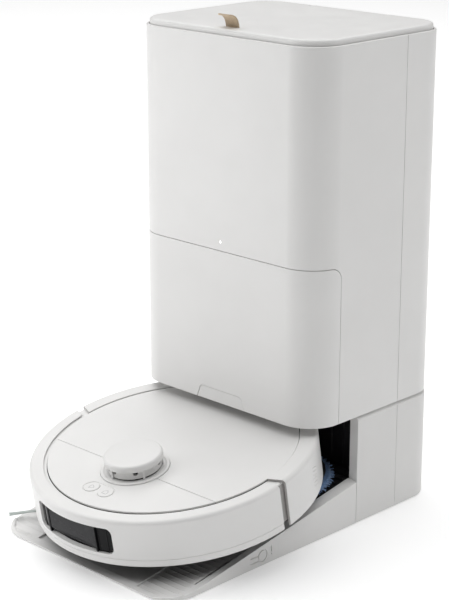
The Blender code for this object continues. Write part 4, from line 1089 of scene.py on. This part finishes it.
def build_turret():
    """Ring in the lid, a hood on five posts, and the turning drum below it, with its holes and lenses."""
    ring = [(0.0300, 0.0715), (TURRET_RING_R, 0.0715)]
    ring += arc(TURRET_RING_R - 0.0010, LID_TOP + 0.0006, 0.0010, 0, 90, 6)
    ring += arc(TURRET_R + 0.0026, LID_TOP + 0.0010, 0.0006, 90, 170, 4)
    ring += [(TURRET_R + 0.0008, LID_TOP + 0.0003), (0.0300, LID_TOP + 0.0003)]
    piece(shaded(turned(ring, 0, TURRET_Y)), "turret_base", "white_shell", ROBOT, "robot", ["turret_ring"])

    r, top, soft = TURRET_R, TURRET_TOP, 0.0036
    profile = [(r - 0.003, top - 0.0040), (r - 0.003, top - 0.0085), (r - 0.0003, top - 0.0085)]
    profile += [(r, top - 0.0082)] + arc(r - soft, top - soft - 0.0003, soft, 0, 84, 14)
    profile += [(r * 0.72, top - 0.00012), (r * 0.4, top), (r * 0.1, top)]
    cap = stack(profile, 0, TURRET_Y)
    for i in range(5):
        a = 66 + 72 * i
        low, high = LID_TOP + 0.0004, top - 0.0080
        inner, outer = r - 0.0028, r - 0.0018
        section = oblong(inner, outer, low, high)
        join(cap, place(sector(section, a - 2.6, a + 2.6, 6), (0, TURRET_Y, 0)))
    soften(cap, 0.0004, 3, 42)
    piece(cap, "turret_hood", "white_shell", ROBOT, "robot", ["turret_cap"])

    drum = disc(0.0321, 0.0828, 0.0946, 0, TURRET_Y, edge=0.0006)
    for a in TURRET_HOLES:
        x, y = math.cos(math.radians(a)), math.sin(math.radians(a))
        start, end = [(r * x, TURRET_Y + r * y, TURRET_HOLE_Z) for r in (0.0240, 0.0400)]
        cut(drum, bar(0.0032, start, end))
    soften(drum, 0.0003)
    join_foot = disc(0.0100, 0.0720, 0.0835, 0, TURRET_Y, 48)
    piece(gathered([drum, join_foot]), "lidar_drum", "white_base", ROBOT, "lidar", ["lidar_rotor"])
    lenses = [turned(oblong(0.0200, 0.0296, 0.0872, 0.0942), 0, TURRET_Y)]
    lenses.append(turned(oblong(0.0200, 0.0312, 0.0813, 0.0826), 0, TURRET_Y))
    piece(shaded(gathered(lenses)), "lidar_lenses", "black_gloss", ROBOT, "lidar")


def build_chassis():
    """Underbody with openings for the wheels, brushes, mops and window, and blind holes for its screws."""
    r = 0.1660
    profile = [(r - 0.016, 0.0100), (r - 0.002, 0.0205), (r, 0.0225), (r, 0.0765)]
    profile += [(r - 0.0025, 0.0765), (r - 0.0025, 0.0225), (r - 0.0040, 0.0220)]
    chassis = stack(profile)
    for side in (-1, 1):
        x0, x1 = sorted((side * 0.0850, side * 0.1320))
        cut(chassis, box(x0, x1, -0.040, 0.040, -0.1, 0.05))
        cut(chassis, disc(MOP_R + 0.003, -0.01, 0.0145, side * MOP_X, MOP_Y))
        cut(chassis, disc(0.0075, -0.01, 0.05, side * MOP_X, MOP_Y, 32))
    cut(chassis, box(-0.0840, 0.0840, -0.0360, 0.0120, -0.1, 0.05))
    cut(chassis, box(-0.0945, 0.0945, -0.0620, -0.0356, -0.1, 0.0130))
    cut(chassis, disc(0.0235, -0.01, 0.05, 0, -0.125, 64))
    cut(chassis, disc(0.0120, -0.01, 0.05, *SIDE_BRUSH, 48))
    spare = 0.0015
    cut(chassis, curved_panel(WINDOW_HALF + 2, WINDOW_Z0 - spare, WINDOW_Z1 + spare, 0.003, 0.158, 0.170))
    screws = [(-0.060, -0.138), (0.060, -0.138), (-0.142, 0.050), (0.142, 0.050), (0.0, 0.150), (0.0, 0.045)]
    for x, y in screws:
        cut(chassis, disc(0.0026, -0.01, 0.0118, x, y, 24))
    soften(chassis, 0.0004, 2, 42)
    piece(chassis, "underbody", "dark_plastic", ROBOT, "robot", ["chassis"])


def build_robot_shell():
    build_bumper()
    build_rear()
    build_deck()
    build_turret()
    build_chassis()


def tube(points, radius, sides=6, taper=1.0):
    """Round thread along points, its far end taper times as thick."""
    rings = []
    count = len(points)
    side_ref = Vector((0.31, 0.17, 0.94))
    for i, p in enumerate(points):
        along = (points[min(i + 1, count - 1)] - points[max(i - 1, 0)]).normalized()
        u = along.cross(side_ref).normalized()
        v = along.cross(u)
        r = radius * (1 + (taper - 1) * i / (count - 1))
        rings.append([p + (u * math.cos(a) + v * math.sin(a)) * r
                      for a in (math.tau * k / sides for k in range(sides))])
    return loft(rings)


def build_wheels():
    half, r = WHEEL_W / 2, WHEEL_R
    outline = [(0.0046, -half), (0.0300, -half), (r - 0.0022, -half + 0.0008), (r - 0.0008, -half + 0.0022)]
    tread_from = len(outline)
    outline += [(r, -half + 0.005 + (WHEEL_W - 0.010) * k / 10) for k in range(11)]
    tread_to = len(outline)
    outline += [(r - 0.0008, half - 0.0022), (r - 0.0022, half - 0.0008), (0.0300, half), (0.0225, half)]
    outline += [(0.0210, half - 0.0028), (0.0046, half - 0.0028)]
    steps, blocks = 216, 24
    for name, side in (("left", -1), ("right", 1)):
        rings = []
        for index, (radius, z) in enumerate(outline):
            ring = []
            for k in range(steps):
                a = math.tau * k / steps
                tuck = 0.0
                if tread_from <= index < tread_to:
                    phase = (a * blocks / math.tau + abs(z) * 42) % 1
                    tuck = 0.0014 if phase < 0.26 else 0.0
                ring.append(((radius - tuck) * math.cos(a), (radius - tuck) * math.sin(a), z))
            rings.append(ring)
        tyre = loft(rings, closed_loop=True)
        place(tyre, (side * WHEEL_X, 0, WHEEL_R), side * math.pi / 2, "Y")
        piece(shaded(tyre), "tyre_" + name, "rubber", ROBOT, "wheel_" + name, ["wheel_" + name])

        hub = [(0.0046, -0.0006), (0.0205, -0.0006), (0.0205, 0.0010), (0.0190, 0.0018), (0.0120, 0.0018)]
        hub += [(0.0105, 0.0010), (0.0080, 0.0010), (0.0070, 0.0022), (0.0046, 0.0022)]
        cap = turned(hub, steps=64)
        for k in range(6):
            a = math.tau * k / 6
            cut(cap, disc(0.0022, -0.01, 0.01, 0.0152 * math.cos(a), 0.0152 * math.sin(a), 20))
        soften(cap, 0.0003)
        offset = side * (WHEEL_X + half - 0.0024)
        place(cap, (offset, 0, WHEEL_R), side * math.pi / 2, "Y")
        piece(cap, "hub_" + name, "grey_plastic", ROBOT, "wheel_" + name)


def build_brushes():
    y, z = -0.0120, 0.0190
    count, stations, fins = 108, 72, 6
    rings = []
    for i in range(stations + 1):
        x = -0.0795 + 0.159 * i / stations
        turn = math.radians(160 * abs(x) / 0.0795)
        ring = []
        for k in range(count):
            a = math.tau * k / count
            near = abs(((k * fins / count) + 0.5) % 1 - 0.5) * math.tau / fins * 0.0145
            radius = 0.0112 + (0.0165 - 0.0112) * math.exp(-((near / 0.0012) ** 4))
            ring.append((x, y + radius * math.cos(a + turn), z + radius * math.sin(a + turn)))
        rings.append(ring)
    piece(shaded(loft(rings), 50), "roller_fins", "rubber", ROBOT, "roller_brush", ["main_brush"])

    bx, by = SIDE_BRUSH
    hub = [(0.0001, 0.0060), (0.0095, 0.0060), (0.0105, 0.0068), (0.0105, 0.0122), (0.0097, 0.0130)]
    hub += [(0.0001, 0.0130)]
    core = stack(hub, steps=48)
    cut(core, disc(0.0024, 0.0, 0.0072, steps=24))
    sleeves = [core]
    for i in range(3):
        ribs = ((0.006, 0.0032, 0.0098), (0.018, 0.0026, 0.0090), (0.030, 0.0020, 0.0084))
        arm = loft([[(x, y, z) for y, z in oblong(-w, w, 0.0066, top)] for x, w, top in ribs])
        sleeves.append(place(arm, (0, 0, 0), math.radians(SIDE_BRUSH_ARM + 120 * i)))
    hub_piece = place(soften(gathered(sleeves), 0.0004), (bx, by, 0))
    piece(hub_piece, "brush_hub", "grey_plastic", ROBOT, "side_brush", ["side_brush"])

    rng = random.Random(11)
    hairs = []
    for i in range(3):
        turn = Matrix.Rotation(math.radians(SIDE_BRUSH_ARM + 120 * i), 3, "Z")
        for _ in range(HAIRS_PER_ARM):
            across, height = rng.uniform(-1, 1), rng.uniform(-1, 1)
            spread = across * 0.0016
            reach = 0.068 + rng.uniform(-0.0016, 0.0)
            points = []
            for k in range(7):
                t = k / 6
                x = 0.026 + (reach - 0.026) * t
                wave = 0.0004 * math.sin(5 * t + across * 3)
                points.append(turn @ Vector((x, spread * (0.8 + 1.5 * t) - 0.0026 * t * t + wave,
                                             0.0076 + height * 0.0007 - 0.0018 * t * t)))
            hairs.append(tube(points, 0.00026, 5, 0.6))
    tuft = place(shaded(gathered(hairs), 70), (bx, by, 0))
    piece(tuft, "brush_bristles", "bristle", ROBOT, "side_brush")


def build_mops():
    for name, side in (("left", -1), ("right", 1)):
        x = side * MOP_X
        rng = random.Random(31 if side > 0 else 32)
        bottom, top, edge = 0.0016, 0.0094, 0.0030
        profile = [(MOP_R * k / 16, bottom) for k in range(1, 15)]
        profile += [(r, z) for r, z in arc(MOP_R - edge, bottom + edge, edge, -80, 0, 7)]
        profile += [(r, z) for r, z in arc(MOP_R - edge, top - edge, edge, 0, 80, 7)]
        profile += [(MOP_R * k / 16, top) for k in range(14, 0, -1)]
        pad = stack(profile, x, MOP_Y, 150)
        for vertex in pad.data.vertices:
            co = vertex.co
            radius = math.hypot(co.x - x, co.y - MOP_Y)
            angle = math.atan2(co.y - MOP_Y, co.x - x)
            tuft = noise.noise(co * 260) * 0.0005 + noise.noise(co * 620) * 0.0003
            channel = sum(math.exp(-(((radius - ring) / 0.0012) ** 2)) for ring in (0.044, 0.022))
            spoke = math.exp(-((math.sin(6 * angle) * radius / 6 / 0.0011) ** 2)) if radius < 0.044 else 0
            if co.z < (bottom + top) / 2:
                co.z += min(0.0011, 0.0009 * channel + 0.0006 * spoke) + abs(tuft)
            else:
                co.z -= abs(tuft)
            pull = 1 - 0.012 * (0.5 + 0.5 * math.sin(24 * angle)) * max(0, (radius - 0.05) / MOP_R)
            co.x, co.y = x + (co.x - x) * pull, MOP_Y + (co.y - MOP_Y) * pull
        piece(shaded(pad, 80), "pad_" + name, "mop_cloth", ROBOT, "mop_" + name, ["mop_pad_" + name])

        strands = []
        for i in range(FRINGE_STRANDS):
            a = math.tau * (i + rng.uniform(-0.4, 0.4)) / FRINGE_STRANDS
            level = rng.uniform(0.0030, 0.0080)
            reach = rng.uniform(0.0016, 0.0046)
            droop = rng.uniform(0.0004, 0.0018)
            swing = rng.uniform(-0.035, 0.035)
            points = []
            for k in range(6):
                t = k / 5
                spread = math.sin(t * math.pi * 0.55) / math.sin(math.pi * 0.55)
                r = MOP_R - 0.0050 + (0.0050 + reach) * spread
                turn = a + swing * t
                points.append(Vector((x + r * math.cos(turn), MOP_Y + r * math.sin(turn),
                                      max(level - droop * t * t, 0.0018))))
            strands.append(tube(points, rng.uniform(0.00055, 0.00085), 6, 0.75))
        fringe = shaded(gathered(strands), 80)
        piece(fringe, "fringe_" + name, "mop_yarn", ROBOT, "mop_" + name)


# Everything else keeps its CAD shape, with softened edges and its own procedural finish.


def carry_over():
    looks = {
        "dirty_tank": "smoke_tank", "clean_tank": "smoke_tank", "dust_bin": "smoke_tank",
        "dirty_tank_cap": "grey_plastic", "clean_tank_cap": "grey_plastic", "bag_collar": "grey_plastic",
        "dust_duct": "grey_plastic", "fan_housing": "grey_plastic", "fan_impeller": "dark_plastic",
        "tank_deck": "white_base", "tower_floor": "white_base", "washboard_tray": "bay_black",
        "dock_contact_left": "steel", "dock_contact_right": "steel", "lid_hinge_pin": "steel",
        "power_inlet": "dark_plastic", "water_pump": "dark_plastic", "drying_fan": "dark_plastic",
        "station_board": "board", "wheel_motor_left": "grey_plastic", "wheel_motor_right": "grey_plastic",
        "caster_fork": "dark_plastic", "caster_wheel": "rubber", "brush_guard": "grey_plastic",
        # The mop plates take the near-black look: painted shadow under the robot.
        "mop_plate_left": "plate_painted_shadow", "mop_plate_right": "plate_painted_shadow", "battery": "dark_plastic",
        "camera_module": "dark_plastic",
    }
    feet = [f"foot_{end}_{which}" for end in ("front", "rear") for which in ("left", "right")]
    looks.update({foot: "rubber" for foot in feet})
    for name, look_name in looks.items():
        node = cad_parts[name]
        made, slot = LOOKS[look_name]
        for holder in node.material_slots:
            holder.material = made
        weld = node.modifiers.new("weld", "WELD")
        weld.merge_threshold = 0.00001
        edge = node.modifiers.new("edge", "BEVEL")
        edge.width = 0.00035
        edge.segments = 2
        edge.limit_method = "ANGLE"
        edge.angle_limit = math.radians(40)
        edge.use_clamp_overlap = True


# Camera, floor and light


def area_light(name, where, aim, size, power):
    lamp = bpy.data.lights.new(name, "AREA")
    lamp.shape = "RECTANGLE"
    lamp.size, lamp.size_y = size
    lamp.energy = power
    holder = bpy.data.objects.new(name, lamp)
    holder.location = where
    holder.rotation_euler = (Vector(aim) - Vector(where)).to_track_quat("-Z", "Y").to_euler()
    bpy.context.scene.collection.objects.link(holder)


def build_stage():
    view = bpy.data.cameras.new("view")
    view.lens = 105.8
    view.sensor_width = 36
    view.sensor_fit = "AUTO"
    view.clip_end = 50
    camera = bpy.data.objects.new("view", view)
    azimuth, elevation = math.radians(44.489), math.radians(17.074)
    back = Vector((math.sin(azimuth) * math.cos(elevation), -math.cos(azimuth) * math.cos(elevation),
                   math.sin(elevation)))
    camera.location = (1.4305 + STATION_X, -1.4487 + STATION_Y, 0.8988)
    camera.rotation_euler = back.to_track_quat("Z", "Y").to_euler()
    bpy.context.scene.collection.objects.link(camera)
    bpy.context.scene.camera = camera

    floor = box(-8, 8, -8, 8, -0.02, 0)
    floor.name = "floor"
    paint = bpy.data.materials.new("floor")
    paint.use_nodes = True
    shader = paint.node_tree.nodes["Principled BSDF"]
    shader.inputs["Base Color"].default_value = (0.93, 0.93, 0.93, 1)
    shader.inputs["Roughness"].default_value = 0.65
    shader.inputs["Emission Color"].default_value = (1, 1, 1, 1)
    shader.inputs["Emission Strength"].default_value = 0.22
    floor.data.materials.append(paint)

    area_light("overhead", (-1.5, 1.0, 4.2), (-1.5, 1.0, 0), (9, 9), 425)
    area_light("left", (-0.85, -0.70, 0.50), (0, 0, 0.20), (0.7, 0.9), 3.6)
    area_light("right", (2.3, 1.1, 1.1), (0, 0, 0.25), (1.2, 1.8), 1.6)
    area_light("right_rear", (1.6, 2.2, 1.1), (0, 0, 0.25), (1.2, 1.8), 6)
    world = bpy.data.worlds.new("world")
    world.use_nodes = True
    world.node_tree.nodes["Background"].inputs["Color"].default_value = (1, 1, 1, 1)
    world.node_tree.nodes["Background"].inputs["Strength"].default_value = 0.06
    bpy.context.scene.world = world
    settings = bpy.context.scene.view_settings
    settings.view_transform = "Standard"
    settings.look = "None"


build_stage()
build_station()
build_robot_shell()
build_wheels()
build_brushes()
build_mops()
carry_over()
